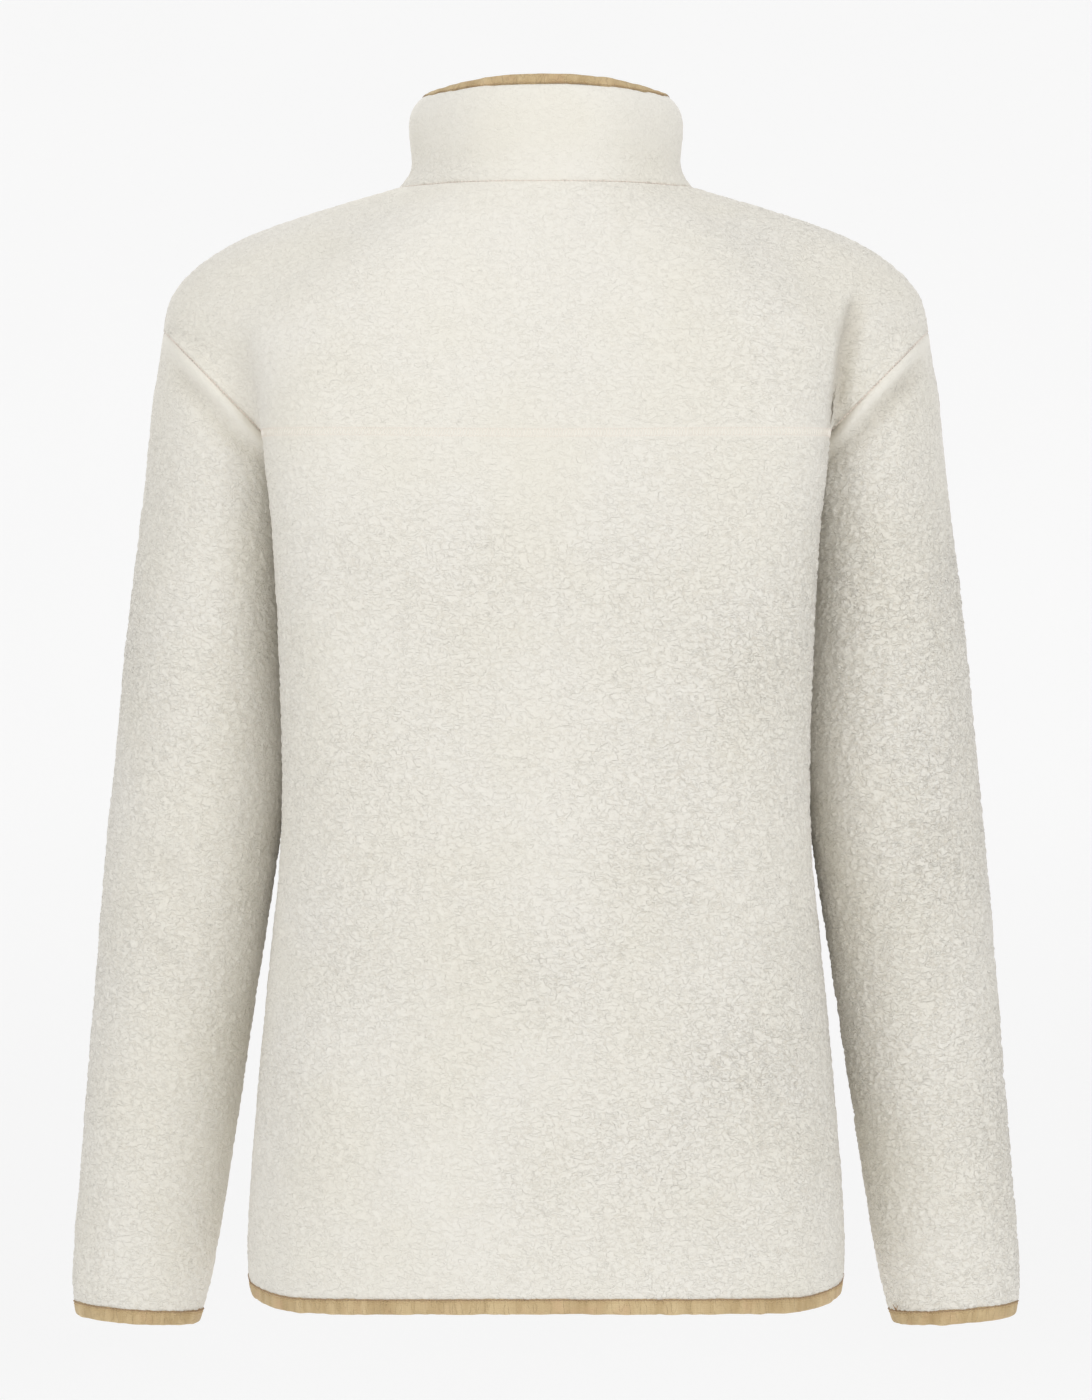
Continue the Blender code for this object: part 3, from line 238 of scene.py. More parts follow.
# How coarse the pile is: its strength at places across the garment, and the shares that it falls
# to above one level and below another.
PILE_ACROSS = (
    (-0.300, 1.70), (-0.160, 1.60), (-0.060, 1.25), (0.060, 1.00), (0.180, 1.10), (0.300, 1.40),
)
PILE_SMOOTH_ABOVE, PILE_SMOOTH_HEIGHT, PILE_SMOOTH = -0.150, 0.110, 0.62
PILE_FOOT_BELOW, PILE_FOOT_HEIGHT, PILE_FOOT = -0.560, 0.130, 0.70
PILE_PATCH_SIZE, PILE_PATCHES = 0.060, 0.25
COLLAR_PILE, COLLAR_SHARES_FOOT = 0.32, -0.01
COLLAR_FOOT_PILE, COLLAR_FOOT, COLLAR_FOOT_X = 1.2, 0.5, 0.070  # more pile at the foot of its sides
CRUMB_MIDDLE = 0.55  # the crumb value that lies on the cloth's smooth surface
SOFT_SIZE, SOFT_HEIGHT = 0.012, 0.00028
YOKE_SPACING, FRONT_SPACING = 0.9, 1.3  # shares of the pile's spacing; the collar's is the yoke's

# Creases that are too small for the frame's solids. Each is a path over one face, and its points
# are x, z and depth. inner_width is its reach towards the garment's middle line and outer_width
# away from it, so a small inner width gives a crisp fold.
CREASE_COLUMNS = ("face", "inner_width", "outer_width", "path")
CREASES = (
    (1, 0.0026, 0.0095, (
        (-0.1895, -0.0690, 0.0010), (-0.1855, -0.0790, 0.0075), (-0.1802, -0.0970, 0.0130),
        (-0.1768, -0.1160, 0.0145), (-0.1745, -0.1340, 0.0125), (-0.1732, -0.1480, 0.0090),
        (-0.1712, -0.1640, 0.0045), (-0.1680, -0.1830, 0.0000),
    )),
    (1, 0.0050, 0.0110, (
        (0.1900, -0.0860, 0.0000), (0.1830, -0.1020, 0.0018), (0.1790, -0.1200, 0.0026),
        (0.1765, -0.1370, 0.0024), (0.1750, -0.1560, 0.0014), (0.1735, -0.1760, 0.0000),
    )),
    (1, 0.0080, 0.0080, ((0.266, -0.395, 0.0), (0.236, -0.420, 0.0022), (0.204, -0.452, 0.0))),
    (1, 0.0070, 0.0070, ((0.268, -0.444, 0.0), (0.238, -0.470, 0.0018), (0.206, -0.506, 0.0))),
    (1, 0.0090, 0.0090, ((-0.266, -0.380, 0.0), (-0.238, -0.402, 0.0018), (-0.206, -0.440, 0.0))),
    (1, 0.0080, 0.0080, ((-0.270, -0.474, 0.0), (-0.244, -0.492, 0.0014), (-0.216, -0.520, 0.0))),
    (1, 0.0100, 0.0100, ((0.080, -0.262, 0.0), (0.118, -0.236, 0.0009), (0.152, -0.206, 0.0))),
    (1, 0.0110, 0.0110, ((-0.152, -0.292, 0.0), (-0.118, -0.312, 0.0009), (-0.080, -0.334, 0.0))),
    (-1, 0.0080, 0.0080, ((0.260, -0.385, 0.0), (0.230, -0.405, 0.0018), (0.198, -0.434, 0.0))),
    (-1, 0.0080, 0.0080, ((-0.262, -0.400, 0.0), (-0.232, -0.425, 0.0018), (-0.200, -0.456, 0.0))),
    (-1, 0.0090, 0.0090, ((0.104, -0.228, 0.0), (0.130, -0.206, 0.0014), (0.154, -0.184, 0.0))),
    (-1, 0.0090, 0.0090, ((-0.104, -0.242, 0.0), (-0.130, -0.218, 0.0014), (-0.154, -0.192, 0.0))),
)
RELAXING = 160  # how many times the fine body rows are evened out, which spreads over about 13 mm

# The turned seam beside an armhole on the sleeve: a smooth ridge, then a shallow trough.
CAP_RIDGE_AT, CAP_RIDGE_WIDTH, CAP_RIDGE_HEIGHT = 0.0052, 0.0042, 0.0022
CAP_TROUGH_AT, CAP_TROUGH_WIDTH, CAP_TROUGH_DEPTH = 0.0168, 0.0080, 0.0050
CAP_PAINTED_SHADES = {1: 0.20, -1: 0.50}  # painted shade: how much darker the pile is coloured in each sleeve's trough
CAP_CALM, CAP_CALM_WIDTH = 0.8, 1.4  # how much of the pile the ridge takes away, over its width
CAP_BELOW_FOOT, CAP_RISE = 0.010, 0.040  # where it fades out near the armhole's foot
CAP_FACING, CAP_FACING_EASE = 0.30, 0.40  # and towards the sleeve's outermost and innermost lines

# The hem rises towards its two sides.
HEM_CORNER_X, HEM_CORNER_REACH, HEM_CORNER_MOST = 0.147, 0.035, 1.2
HEM_CORNER_LIFT, HEM_CORNER_HEIGHT = 0.0075, 0.050


# ------------------------------------------------------------------ the garment's surfaces

def smooth_column(rows, names, name, at, key):
    """One column of a table read at any value of its key column, on a smooth curve through its rows."""
    table = np.array(rows, float)
    keys = table[:, names.index(key)] if key else np.linspace(0.0, 1.0, len(table))
    values = table[:, names.index(name)]
    if keys[0] > keys[-1]:
        keys, values = keys[::-1], values[::-1]
    gaps = np.diff(keys)
    rates = np.diff(values) / gaps
    slopes = np.empty_like(values)
    slopes[0], slopes[-1] = rates[0], rates[-1]
    before, after = rates[:-1], rates[1:]
    weight = gaps[1:] / (gaps[:-1] + gaps[1:])
    slopes[1:-1] = np.where(before * after > 0, weight * before + (1 - weight) * after, 0.0)
    at = np.clip(np.asarray(at, float), keys[0], keys[-1])
    cell = np.clip(np.searchsorted(keys, at, side="right") - 1, 0, len(gaps) - 1)
    t = (at - keys[cell]) / gaps[cell]
    start_rate, end_rate = slopes[cell] * gaps[cell], slopes[cell + 1] * gaps[cell]
    return hermite(values[cell], start_rate, values[cell + 1], end_rate, t)


def hermite(start, start_rate, end, end_rate, t):
    t2 = t * t
    t3 = t2 * t
    return (
        start * (2 * t3 - 3 * t2 + 1)
        + start_rate * (t3 - 2 * t2 + t)
        + end * (3 * t2 - 2 * t3)
        + end_rate * (t3 - t2)
    )


def smooth_step(t):
    t = np.clip(t, 0.0, 1.0)
    return t * t * (3 - 2 * t)


def unit(vectors):
    return vectors / np.maximum(np.linalg.norm(vectors, axis=-1, keepdims=True), 1e-12)


def edge_points(level, face):
    """Where sections end: on the shoulder line, round the armhole, then down the side line."""
    level = np.asarray(level, float)
    top_x, top_z = ARMHOLE_TOP
    foot_x, foot_z = ARMHOLE_FOOT
    share = np.clip((level - foot_z) / (top_z - foot_z), 0.0, 1.0)
    on_shoulder = smooth_column(SHOULDER_LINE, SHOULDER_COLUMNS, "x", level, "level")
    on_armhole = foot_x + (top_x - foot_x) * share
    on_side = smooth_column(SIDE_LINE, SIDE_COLUMNS, "x", level, "level")
    x = np.where(level >= top_z, on_shoulder, np.where(level >= foot_z, on_armhole, on_side))
    bulge = np.sqrt(np.clip(1.0 - (2.0 * share - 1.0) ** 2, 0.0, 1.0))
    return np.stack([x, EDGE_Y + face * ARMHOLE_HALF_DEPTH * bulge, level], axis=-1)


def body_points(level, across, face, side):
    """Points of the body's outer surface for every level and every share of the way across."""
    level = np.asarray(level, float)[:, None]
    across = np.asarray(across, float)[None, :]
    rows = BACK_SECTIONS if face > 0 else FRONT_SECTIONS

    def column(name):
        return smooth_column(rows, SECTION_COLUMNS, name, level, "level")

    start_x = 0.0 if face > 0 else ZIP_GAP
    middle = np.stack([np.full_like(level, start_x), face * column("middle_y"), column("middle_z")], -1)
    fold = np.stack([column("fold_x"), face * column("fold_y"), column("fold_z")], -1)
    edge = edge_points(level, face)
    turn = np.radians(column("fold_turn"))
    last_turn = np.radians(column("edge_turn"))
    first = np.linalg.norm(fold - middle, axis=-1)[..., None]
    second = np.linalg.norm(edge - fold, axis=-1)[..., None]
    fall = (edge - middle)[..., 2:3] / (first + second)
    ahead = np.broadcast_to(np.array([1.0, 0.0, 0.0]), middle.shape)
    at_fold = np.concatenate([np.cos(turn)[..., None], -face * np.sin(turn)[..., None], fall], -1)
    at_edge = np.stack([np.cos(last_turn), -face * np.sin(last_turn), np.zeros_like(last_turn)], -1)
    inward = (across / FOLD_SHARE)[..., None]
    outward = ((across - FOLD_SHARE) / (1.0 - FOLD_SHARE))[..., None]
    curl = smooth_step((YOKE_LEVEL - level) / (YOKE_LEVEL - ARMHOLE_FOOT[1]))
    curl = (curl * smooth_step((level - UNCURLED_LEVEL) / UNCURLING_HEIGHT))[..., None]
    leave = second * (PULL + (FOLD_PULL - PULL) * curl)
    arrive = second * (PULL + (SIDE_PULL - PULL) * curl)
    to_fold = hermite(middle, ahead * first * PULL, fold, at_fold * first * PULL, inward)
    to_edge = hermite(fold, at_fold * leave, edge, at_edge * arrive, outward)
    points = np.where(inward <= 1.0, to_fold, to_edge)
    past_fold = np.clip(outward[..., 0], 0.0, 1.0)
    bite = past_fold / CREASE_SHARE * np.exp(1.0 - past_fold / CREASE_SHARE)
    bite *= 1.0 - smooth_step((past_fold - CREASE_END) / (1.0 - CREASE_END))
    points[..., 1] -= face * column("crease") * CREASE_BY_SIDE[side] * bite
    points[..., 0] *= side
    return with_hollows(points, face)


def with_hollows(points, face):
    """Presses in the soft hollows of one face."""
    begin, whole = HOLLOW_FREE_DEPTH
    for row in HOLLOWS:
        hollow = dict(zip(HOLLOW_COLUMNS, row))
        if hollow["face"] != face:
            continue
        down = (points[..., 2] - hollow["z_upper"]) / (hollow["z_lower"] - hollow["z_upper"])
        x_here = hollow["x_upper"] + (hollow["x_lower"] - hollow["x_upper"]) * down
        across = np.exp(-(((points[..., 0] - x_here) / hollow["half_width"]) ** 2))
        along = np.sin(math.pi * np.clip(down, 0.0, 1.0)) ** 2
        clear_of_edge = smooth_step((np.abs(points[..., 1] - EDGE_Y) - begin) / (whole - begin))
        points[..., 1] -= face * hollow["depth"] * across * along * clear_of_edge
    return points


def armhole_slope(side):
    """Unit vector up the slope of an armhole's plane, from its foot to its top."""
    return unit(np.array([side * (ARMHOLE_TOP[0] - ARMHOLE_FOOT[0]), 0.0, ARMHOLE_TOP[1] - ARMHOLE_FOOT[1]]))


def into_sleeve(side):
    """Unit vector square to an armhole's plane, out of the body."""
    slope = armhole_slope(side)
    return side * np.array([slope[2], 0.0, -slope[0]])


def armhole_outward(points, side):
    """Directions in the armhole's plane, square to its rim, away from its middle."""
    slope = armhole_slope(side)
    middle = np.array([
        side * (ARMHOLE_TOP[0] + ARMHOLE_FOOT[0]) / 2, EDGE_Y, (ARMHOLE_TOP[1] + ARMHOLE_FOOT[1]) / 2,
    ])
    half_length = math.dist(ARMHOLE_TOP, ARMHOLE_FOOT) / 2
    along = (points - middle) @ slope / half_length**2
    deep = (points[..., 1] - EDGE_Y) / ARMHOLE_HALF_DEPTH**2
    return unit(along[..., None] * slope + deep[..., None] * np.array([0.0, 1.0, 0.0]))


def sleeve_points(along, round_turns, side):
    """Points of a sleeve's outer surface. A turn of 0 is its outermost line and 90 its back."""
    along = np.asarray(along, float)[:, None]

    def column(name):
        return smooth_column(SLEEVE_RINGS, SLEEVE_COLUMNS, name, along, None)

    swing = np.radians(np.asarray(round_turns, float))[None, :]
    middle_x = (column("outer_x") + column("inner_x")) / 2
    middle_z = (column("outer_z") + column("inner_z")) / 2
    x = middle_x + (column("outer_x") - middle_x) * np.cos(swing)
    z = middle_z + (column("outer_z") - middle_z) * np.cos(swing)
    y = column("middle_y") + column("half_depth") * np.sin(swing)
    return np.stack([side * x, y, z], -1)


def collar_points(height, across, face, side):
    """Points of the collar's outer surface, from the neck seam up to its top edge."""
    height = np.asarray(height, float)[:, None]
    seam = body_points([NECK_LEVEL], across, face, side)
    edge = edge_points(np.array([[NECK_LEVEL]]), face)
    share_out = np.clip(np.abs(seam[..., 0]) / edge[..., 0], 0.0, 1.0)
    facing = np.sqrt(1.0 - share_out**2)

    def column(name):
        return smooth_column(COLLAR_PROFILE, COLLAR_COLUMNS, name, height, "height")

    full_rise = COLLAR_BACK_RISE if face > 0 else COLLAR_FRONT_RISE
    rise = COLLAR_SIDE_RISE + (full_rise - COLLAR_SIDE_RISE) * facing**2
    deep = column("back" if face > 0 else "front")
    squeeze = deep + (column("side") - deep) * share_out**2
    x = seam[..., 0] * (column("side") + (squeeze - column("side")) * 0.5)
    if face < 0:
        x = np.where(share_out < 2 * ZIP_GAP / edge[..., 0], side * np.abs(seam[..., 0]), x)
    y = EDGE_Y + (seam[..., 1] - EDGE_Y) * deep
    z = seam[..., 2] + rise * column("rise")
    return np.stack(np.broadcast_arrays(x, y, z), -1)


def round_the_neck(shares_front, shares_back, part_of):
    """Joins four quarters side by side, from the zip round the back of the neck to the zip."""
    quarters = (
        (-1, 1, shares_front, 1),
        (1, 1, shares_back, -1),
        (1, -1, shares_back, 1),
        (-1, -1, shares_front, -1),
    )
    parts = [part_of(face, side, shares)[:, ::order] for face, side, shares, order in quarters]
    return np.concatenate([parts[0]] + [part[:, 1:] for part in parts[1:]], axis=1)


def spread(rows_at, low, high, spacing, multiple=LINING_STEP):
    """Values from low to high whose rows of points lie evenly, about spacing apart."""
    dense = np.linspace(low, high, DENSE)
    steps = np.linalg.norm(np.diff(rows_at(dense), axis=0), axis=-1).mean(axis=1)
    run = np.concatenate([[0.0], np.cumsum(steps)])
    count = multiple * max(1, round(run[-1] / spacing / multiple))
    values = np.interp(np.linspace(0.0, run[-1], count + 1), run, dense)
    values[0], values[-1] = low, high
    return values


def with_round_corners(points):
    """Lifts the hem a little towards its two sides."""
    out = np.clip((np.abs(points[..., 0]) - HEM_CORNER_X) / HEM_CORNER_REACH, 0.0, HEM_CORNER_MOST)
    low = smooth_step((HEM_LEVEL + HEM_CORNER_HEIGHT - points[..., 2]) / HEM_CORNER_HEIGHT)
    points[..., 2] += HEM_CORNER_LIFT * out**2 * low
    return points


def fine_levels(top, bottom, face, spacing):
    """Levels of a body panel's fine rows, evenly spaced."""
    return spread(lambda at: body_points(at, PROBES, face, 1), top, bottom, spacing)


def fine_shares(top, bottom, face, spacing, multiple=LINING_STEP):
    """Shares of the way across that a body panel's fine columns lie at."""
    levels = np.linspace(top, bottom, LEVEL_PROBES)

    def columns_at(shares):
        return body_points(levels, shares, face, 1).transpose(1, 0, 2)

    return spread(columns_at, 0.0, 1.0, spacing, multiple)


def on_armhole(levels):
    """Which rows of a body panel end on its armhole."""
    return (levels < ARMHOLE_TOP[1] + TINY) & (levels > ARMHOLE_FOOT[1] - TINY)


def body_grid(levels, shares, face, side):
    """Outer points of half a body panel, drawn back a hair from its armhole."""
    points = with_round_corners(body_points(levels, shares, face, side))
    points[on_armhole(levels), -1] -= into_sleeve(side) * HAIR
    return points


def back_grid(levels, shares):
    """A whole back panel, from the wearer's left to the right."""
    left, right = (body_grid(levels, shares, 1, side) for side in (1, -1))
    return np.concatenate([left[:, ::-1], right[:, 1:]], axis=1)


def relaxed(points, free):
    """Evens out the rows of a fine grid, less near the columns where free falls to 0."""
    share = (0.5 * smooth_step(free))[None, :, None]
    for _ in range(RELAXING):
        points[1:-1] += share * ((points[:-2] + points[2:]) / 2 - points[1:-1])
    return points


def grid_normals(points, closed=False):
    """Outward normals of a grid of points."""
    down = np.gradient(points, axis=0)
    if closed:
        across = (np.roll(points, -1, axis=1) - np.roll(points, 1, axis=1)) / 2
    else:
        across = np.gradient(points, axis=1)
    normals = unit(np.cross(across, down))
    outward = (normals * (points - points.mean(axis=(0, 1)))).sum()
    return normals * np.sign(outward)


def grid_runs(points):
    """How far each point lies along its column and along its row, with the whole lengths."""
    down = np.linalg.norm(np.diff(points, axis=0), axis=-1).cumsum(axis=0)
    along = np.linalg.norm(np.diff(points, axis=1), axis=-1).cumsum(axis=1)
    down = np.concatenate([np.zeros((1, points.shape[1])), down])
    along = np.concatenate([np.zeros((points.shape[0], 1)), along], axis=1)
    return down, along


def cut_size(points, closed=False):
    """Width, length and area of the flat piece of cloth that a grid was cut as."""
    ring = np.concatenate([points, points[:, :1]], axis=1) if closed else points
    down, along = grid_runs(ring)
    a, b = ring[1:, 1:] - ring[:-1, :-1], ring[1:, :-1] - ring[:-1, 1:]
    area = np.linalg.norm(np.cross(a, b), axis=-1).sum() / 2
    return float(along[:, -1].max()), float(down[-1].max()), float(area)


# ------------------------------------------------------------------ noise for pile and puckers

def mixed_bits(cells, seed):
    """A number from 0 to 1 for each whole-numbered cell, by an integer hash of 32 bits."""
    mask = np.uint64(0xFFFFFFFF)
    x, y, z = (cells[..., i].astype(np.int64).astype(np.uint64) & mask for i in range(3))
    value = (x * np.uint64(374761393) + y * np.uint64(668265263) + z * np.uint64(2246822519)) & mask
    value = (value + np.uint64(seed) * np.uint64(3266489917)) & mask
    value = ((value ^ (value >> np.uint64(15))) * np.uint64(2654435761)) & mask
    value = ((value ^ (value >> np.uint64(13))) * np.uint64(1274126177)) & mask
    return ((value ^ (value >> np.uint64(16))) & mask).astype(float) / 4294967295.0


def lumps(points, size, seed):
    """Smooth noise from -1 to 1 whose lumps are about size across."""
    place = points / size
    cell = np.floor(place)
    inside = smooth_step(place - cell)
    total = np.zeros(points.shape[:-1])
    for corner in itertools.product((0, 1), repeat=3):
        weight = np.prod(np.where(np.array(corner, bool), inside, 1.0 - inside), axis=-1)
        total += weight * mixed_bits(cell + np.array(corner), seed)
    return 2.0 * total - 1.0


def crumbs(points, size, seed):
    """1 in the heart of each crumb of the pile, 0 in the clefts between crumbs."""
    shift = np.stack([lumps(points, 2.2 * size, seed + i) for i in (1, 2, 3)], -1)
    place = (points + shift * size * 0.45) / size
    cell = np.floor(place)
    nearest = np.full(points.shape[:-1], 9.0)
    second = nearest.copy()
    for step in itertools.product((-1, 0, 1), repeat=3):
        other = cell + np.array(step)
        heart = other + np.stack([mixed_bits(other, seed + i) for i in (11, 12, 13)], -1)
        distance = ((heart - place) ** 2).sum(axis=-1)
        second = np.minimum(second, np.maximum(nearest, distance))
        nearest = np.minimum(nearest, distance)
    cleft = np.sqrt(second) - np.sqrt(nearest)
    return smooth_step(cleft / 0.45) * (1.0 - 0.5 * np.clip(nearest, 0.0, 1.0))


# ------------------------------------------------------------------ meshes

SPINDLE_POINTS = 14
SPINDLE_LIFT, SPINDLE_SHOULDER, SPINDLE_SLIM = 0.6, 0.35, 0.8


def quads(index):
    """The faces between the neighbours of a grid of point numbers."""
    corners = [index[:-1, :-1], index[:-1, 1:], index[1:, 1:], index[1:, :-1]]
    return np.stack(corners, -1).reshape(-1, 4).tolist()


def mesh_piece(name, points, faces, finish, outward, fields=None, sharp_angle=SHARP_ANGLE):
    """A smooth-shaded mesh that rides on the jacket, with its finish and its point fields.

    outward holds a direction for each point, and one face is held against it.
    """
    mesh = bpy.data.meshes.new(name)
    mesh.from_pydata(points.tolist(), [], faces)
    first = mesh.polygons[len(faces) // 4]
    if Vector(outward[first.vertices[0]]).dot(first.normal) < 0:
        mesh.flip_normals()
    for field, values in (fields or {}).items():
        mesh.attributes.new(field, "FLOAT", "POINT").data.foreach_set("value", values.astype(np.float32))
    mesh.materials.append(finish)
    mesh.shade_smooth()
    mesh.set_sharp_from_angle(angle=math.radians(sharp_angle))
    obj = bpy.data.objects.new(name, mesh)
    bpy.context.scene.collection.objects.link(obj)
    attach(obj, JACKET)
    return obj


def rims(index, lining, closed):
    """Faces from the fine pile side to the plain inner side round the open edges of a shell."""
    k = LINING_STEP
    faces = []
    for j in range(lining.shape[1] - 1):
        run = slice(j * k, (j + 1) * k + 1)
        faces.append(index[0, run][::-1].tolist() + [lining[0, j], lining[0, j + 1]])
        faces.append(index[-1, run].tolist() + [lining[-1, j + 1], lining[-1, j]])
    if closed:
        return faces
    for j in range(lining.shape[0] - 1):
        run = slice(j * k, (j + 1) * k + 1)
        faces.append(index[run, 0].tolist() + [lining[j + 1, 0], lining[j, 0]])
        faces.append(index[run, -1][::-1].tolist() + [lining[j, -1], lining[j + 1, -1]])
    return faces


def cloth_shell(name, outer, inner, normals, finish, closed, fields):
    """A closed shell of cloth: a fine outer grid, a coarse inner grid, and its rims."""
    rows, columns = outer.shape[:2]
    index = np.arange(rows * columns).reshape(rows, columns)
    lining = rows * columns + np.arange(inner[..., 0].size).reshape(inner.shape[:2])
    if closed:
        index = np.concatenate([index, index[:, :1]], axis=1)
        lining = np.concatenate([lining, lining[:, :1]], axis=1)
    faces = quads(index) + quads(lining[:, ::-1]) + rims(index, lining, closed)
    points = np.concatenate([outer.reshape(-1, 3), inner.reshape(-1, 3)])
    plain = np.zeros(inner[..., 0].size)
    flat = {field: np.concatenate([values.reshape(-1), plain]) for field, values in fields.items()}
    return mesh_piece(name, points, faces, finish, normals.reshape(-1, 3), flat)


def swept(name, rings, finish, closed=False, fields=None):
    """A solid from the corners of its section, shape (corners, stations, 3)."""
    corners, stations = rings.shape[:2]
    index = np.arange(corners * stations).reshape(corners, stations)
    index = np.concatenate([index, index[:1]])
    if closed:
        index = np.concatenate([index, index[:, :1]], axis=1)
    faces = quads(index)
    if not closed:
        faces.append(index[:-1, 0].tolist())
        faces.append(index[:-1, -1][::-1].tolist())
    flat = {field: values.reshape(-1) for field, values in (fields or {}).items()}
    outward = (rings - rings.mean(axis=0, keepdims=True)).reshape(-1, 3)
    return mesh_piece(name, rings.reshape(-1, 3), faces, finish, outward, flat)


def spindle_faces():
    """Faces of a spindle whose points are a tip, three rings of four corners and a tip."""
    last = SPINDLE_POINTS - 1
    faces = []
    for corner in range(4):
        following = (corner + 1) % 4
        faces += [(0, 1 + following, 1 + corner), (last, 9 + corner, 9 + following)]
        for ring in (1, 5):
            faces.append((ring + corner, ring + following, ring + 4 + following, ring + 4 + corner))
    return faces


def threads(name, starts, ends, ups, radius, finish, slot):
    """Many short stitches as one mesh: each a slim spindle that stands a little proud in its middle."""
    along = unit(ends - starts)
    aside = unit(np.cross(along, ups))
    middle = (starts + ends) / 2 + ups * radius * SPINDLE_LIFT
    ring = [middle + aside * radius, middle + ups * radius, middle - aside * radius, middle - ups * radius]
    thirds = [tip + (middle - tip) * SPINDLE_SHOULDER for tip in (starts, ends)]
    shoulders = [[at + (corner - middle) * SPINDLE_SLIM for corner in ring] for at in thirds]
    points = np.stack([starts, *shoulders[0], *ring, *shoulders[1], ends], axis=1)
    one = spindle_faces()
    faces = [tuple(SPINDLE_POINTS * i + v for v in face) for i in range(len(starts)) for face in one]
    outward = (points - points.mean(axis=1, keepdims=True)).reshape(-1, 3)
    return mesh_piece(
        name, points.reshape(-1, 3), faces, finish, outward, sharp_angle=THREAD_SHARP_ANGLE,
    )


# ------------------------------------------------------------------ shader maths

class Value:
    """A number's socket in a shader, for writing its maths as plain expressions."""

    def __init__(self, graph, socket):
        self.graph, self.socket = graph, socket

    def _math(self, operation, *others):
        sockets = [self.socket, *others]
        return self.graph.node("ShaderNodeMath", {"operation": operation}, dict(enumerate(sockets)))

    def __add__(self, other):
        return self._math("ADD", other)

    def __sub__(self, other):
        return self._math("SUBTRACT", other)

    def __rsub__(self, other):
        return self.graph.node("ShaderNodeMath", {"operation": "SUBTRACT"}, {0: other, 1: self.socket})

    def __mul__(self, other):
        return self._math("MULTIPLY", other)

    __radd__, __rmul__ = __add__, __mul__

    def clamped(self):
        """Itself, held between 0 and 1."""
        return self.graph.node("ShaderNodeClamp", {}, {0: self.socket})

    def line(self, width):
        """1 along the thin wandering lines where it passes through a half, 0 beside them."""
        off = (self - 0.5)._math("ABSOLUTE")
        return 1.0 - off.between(0.0, width)

    def larger(self, other):
        """The larger of the two."""
        return self._math("MAXIMUM", other)

    def wave(self):
        """Its sine, from 0 to 1."""
        return self._math("SINE") * 0.5 + 0.5

    def between(self, low, high):
        """0 up to low, 1 from high, smooth in between."""
        settings = {"interpolation_type": "SMOOTHSTEP"}
        links = {0: self.socket, 1: low, 2: high, 3: 0.0, 4: 1.0}
        return self.graph.node("ShaderNodeMapRange", settings, links)


class Graph:
    """A material's nodes, built by one method."""

    def __init__(self, name):
        self.material = bpy.data.materials.new(name)
        self.material.use_nodes = True
        self.tree = self.material.node_tree
        self.shader = self.tree.nodes["Principled BSDF"]

    def node(self, kind, settings, links, output=0):
        """Adds a node, sets it up, feeds its sockets and returns one output."""
        made = self.tree.nodes.new(kind)
        for name, value in settings.items():
            setattr(made, name, value)
        for key, value in links.items():
            self.feed(made.inputs[key], value)
        return Value(self, made.outputs[output])

    def feed(self, socket, value):
        """Links a socket to a value, or sets it to a number or a colour."""
        if isinstance(value, Value):
            value = value.socket
        if isinstance(value, bpy.types.NodeSocket):
            self.tree.links.new(value, socket)
        elif socket.type == "RGBA":
            socket.default_value = (*value, 1.0)
        else:
            socket.default_value = value

    def place(self, stretch=(1.0, 1.0, 1.0)):
        """The point on the garment, in metres."""
        at = self.node("ShaderNodeTexCoord", {}, {}, "Object")
        return self.node("ShaderNodeVectorMath", {"operation": "MULTIPLY"}, {0: at, 1: stretch})

    def noise(self, place, scale, detail=2.0, output=0):
        """Soft noise from 0 to 1, scale lumps to a metre."""
        links = {"Vector": place, "Scale": scale, "Detail": detail}
        return self.node("ShaderNodeTexNoise", {}, links, output)

    def field(self, name):
        """A number that the mesh holds for each of its points."""
        settings = {"attribute_name": name, "attribute_type": "GEOMETRY"}
        return self.node("ShaderNodeAttribute", settings, {}, "Fac")

    def mix(self, factor, first, second):
        """A colour between two, the second where factor is 1."""
        links = {0: factor, 6: first, 7: second}
        return self.node("ShaderNodeMix", {"data_type": "RGBA"}, links, 2)

    def bump(self, height):
        """Normals of a height in metres."""
        return self.node("ShaderNodeBump", {}, {"Strength": 1.0, "Distance": 1.0, "Height": height})

    def finish(self, **sockets):
        """Feeds the shader's sockets by their names and returns the material."""
        for name, value in sockets.items():
            self.feed(self.shader.inputs[name.replace("_", " ")], value)
        return self.material


PILE_NAME = "sherpa_pile"
CRUMB_STRETCH, CRUMB_DRIFT = (0.82, 1.0, 1.22), 0.0040  # crumbs are broader than high, and wander
WOOL_SCALE, CURL_SCALE = 900.0, 330.0
FULL_TURN = 2.0 * math.pi
RIB_PITCH, LOOP_PITCH = 0.0011, 0.0013  # of the binding's knit
HERRINGBONE_WIDTH, HERRINGBONE_RISE, WEAVE_PITCH = 0.0040, 0.0012, 0.00085


def tinted(colour, shares):
    """A colour with each of its channels scaled."""
    return tuple(min(1.0, part * share) for part, share in zip(colour, shares))


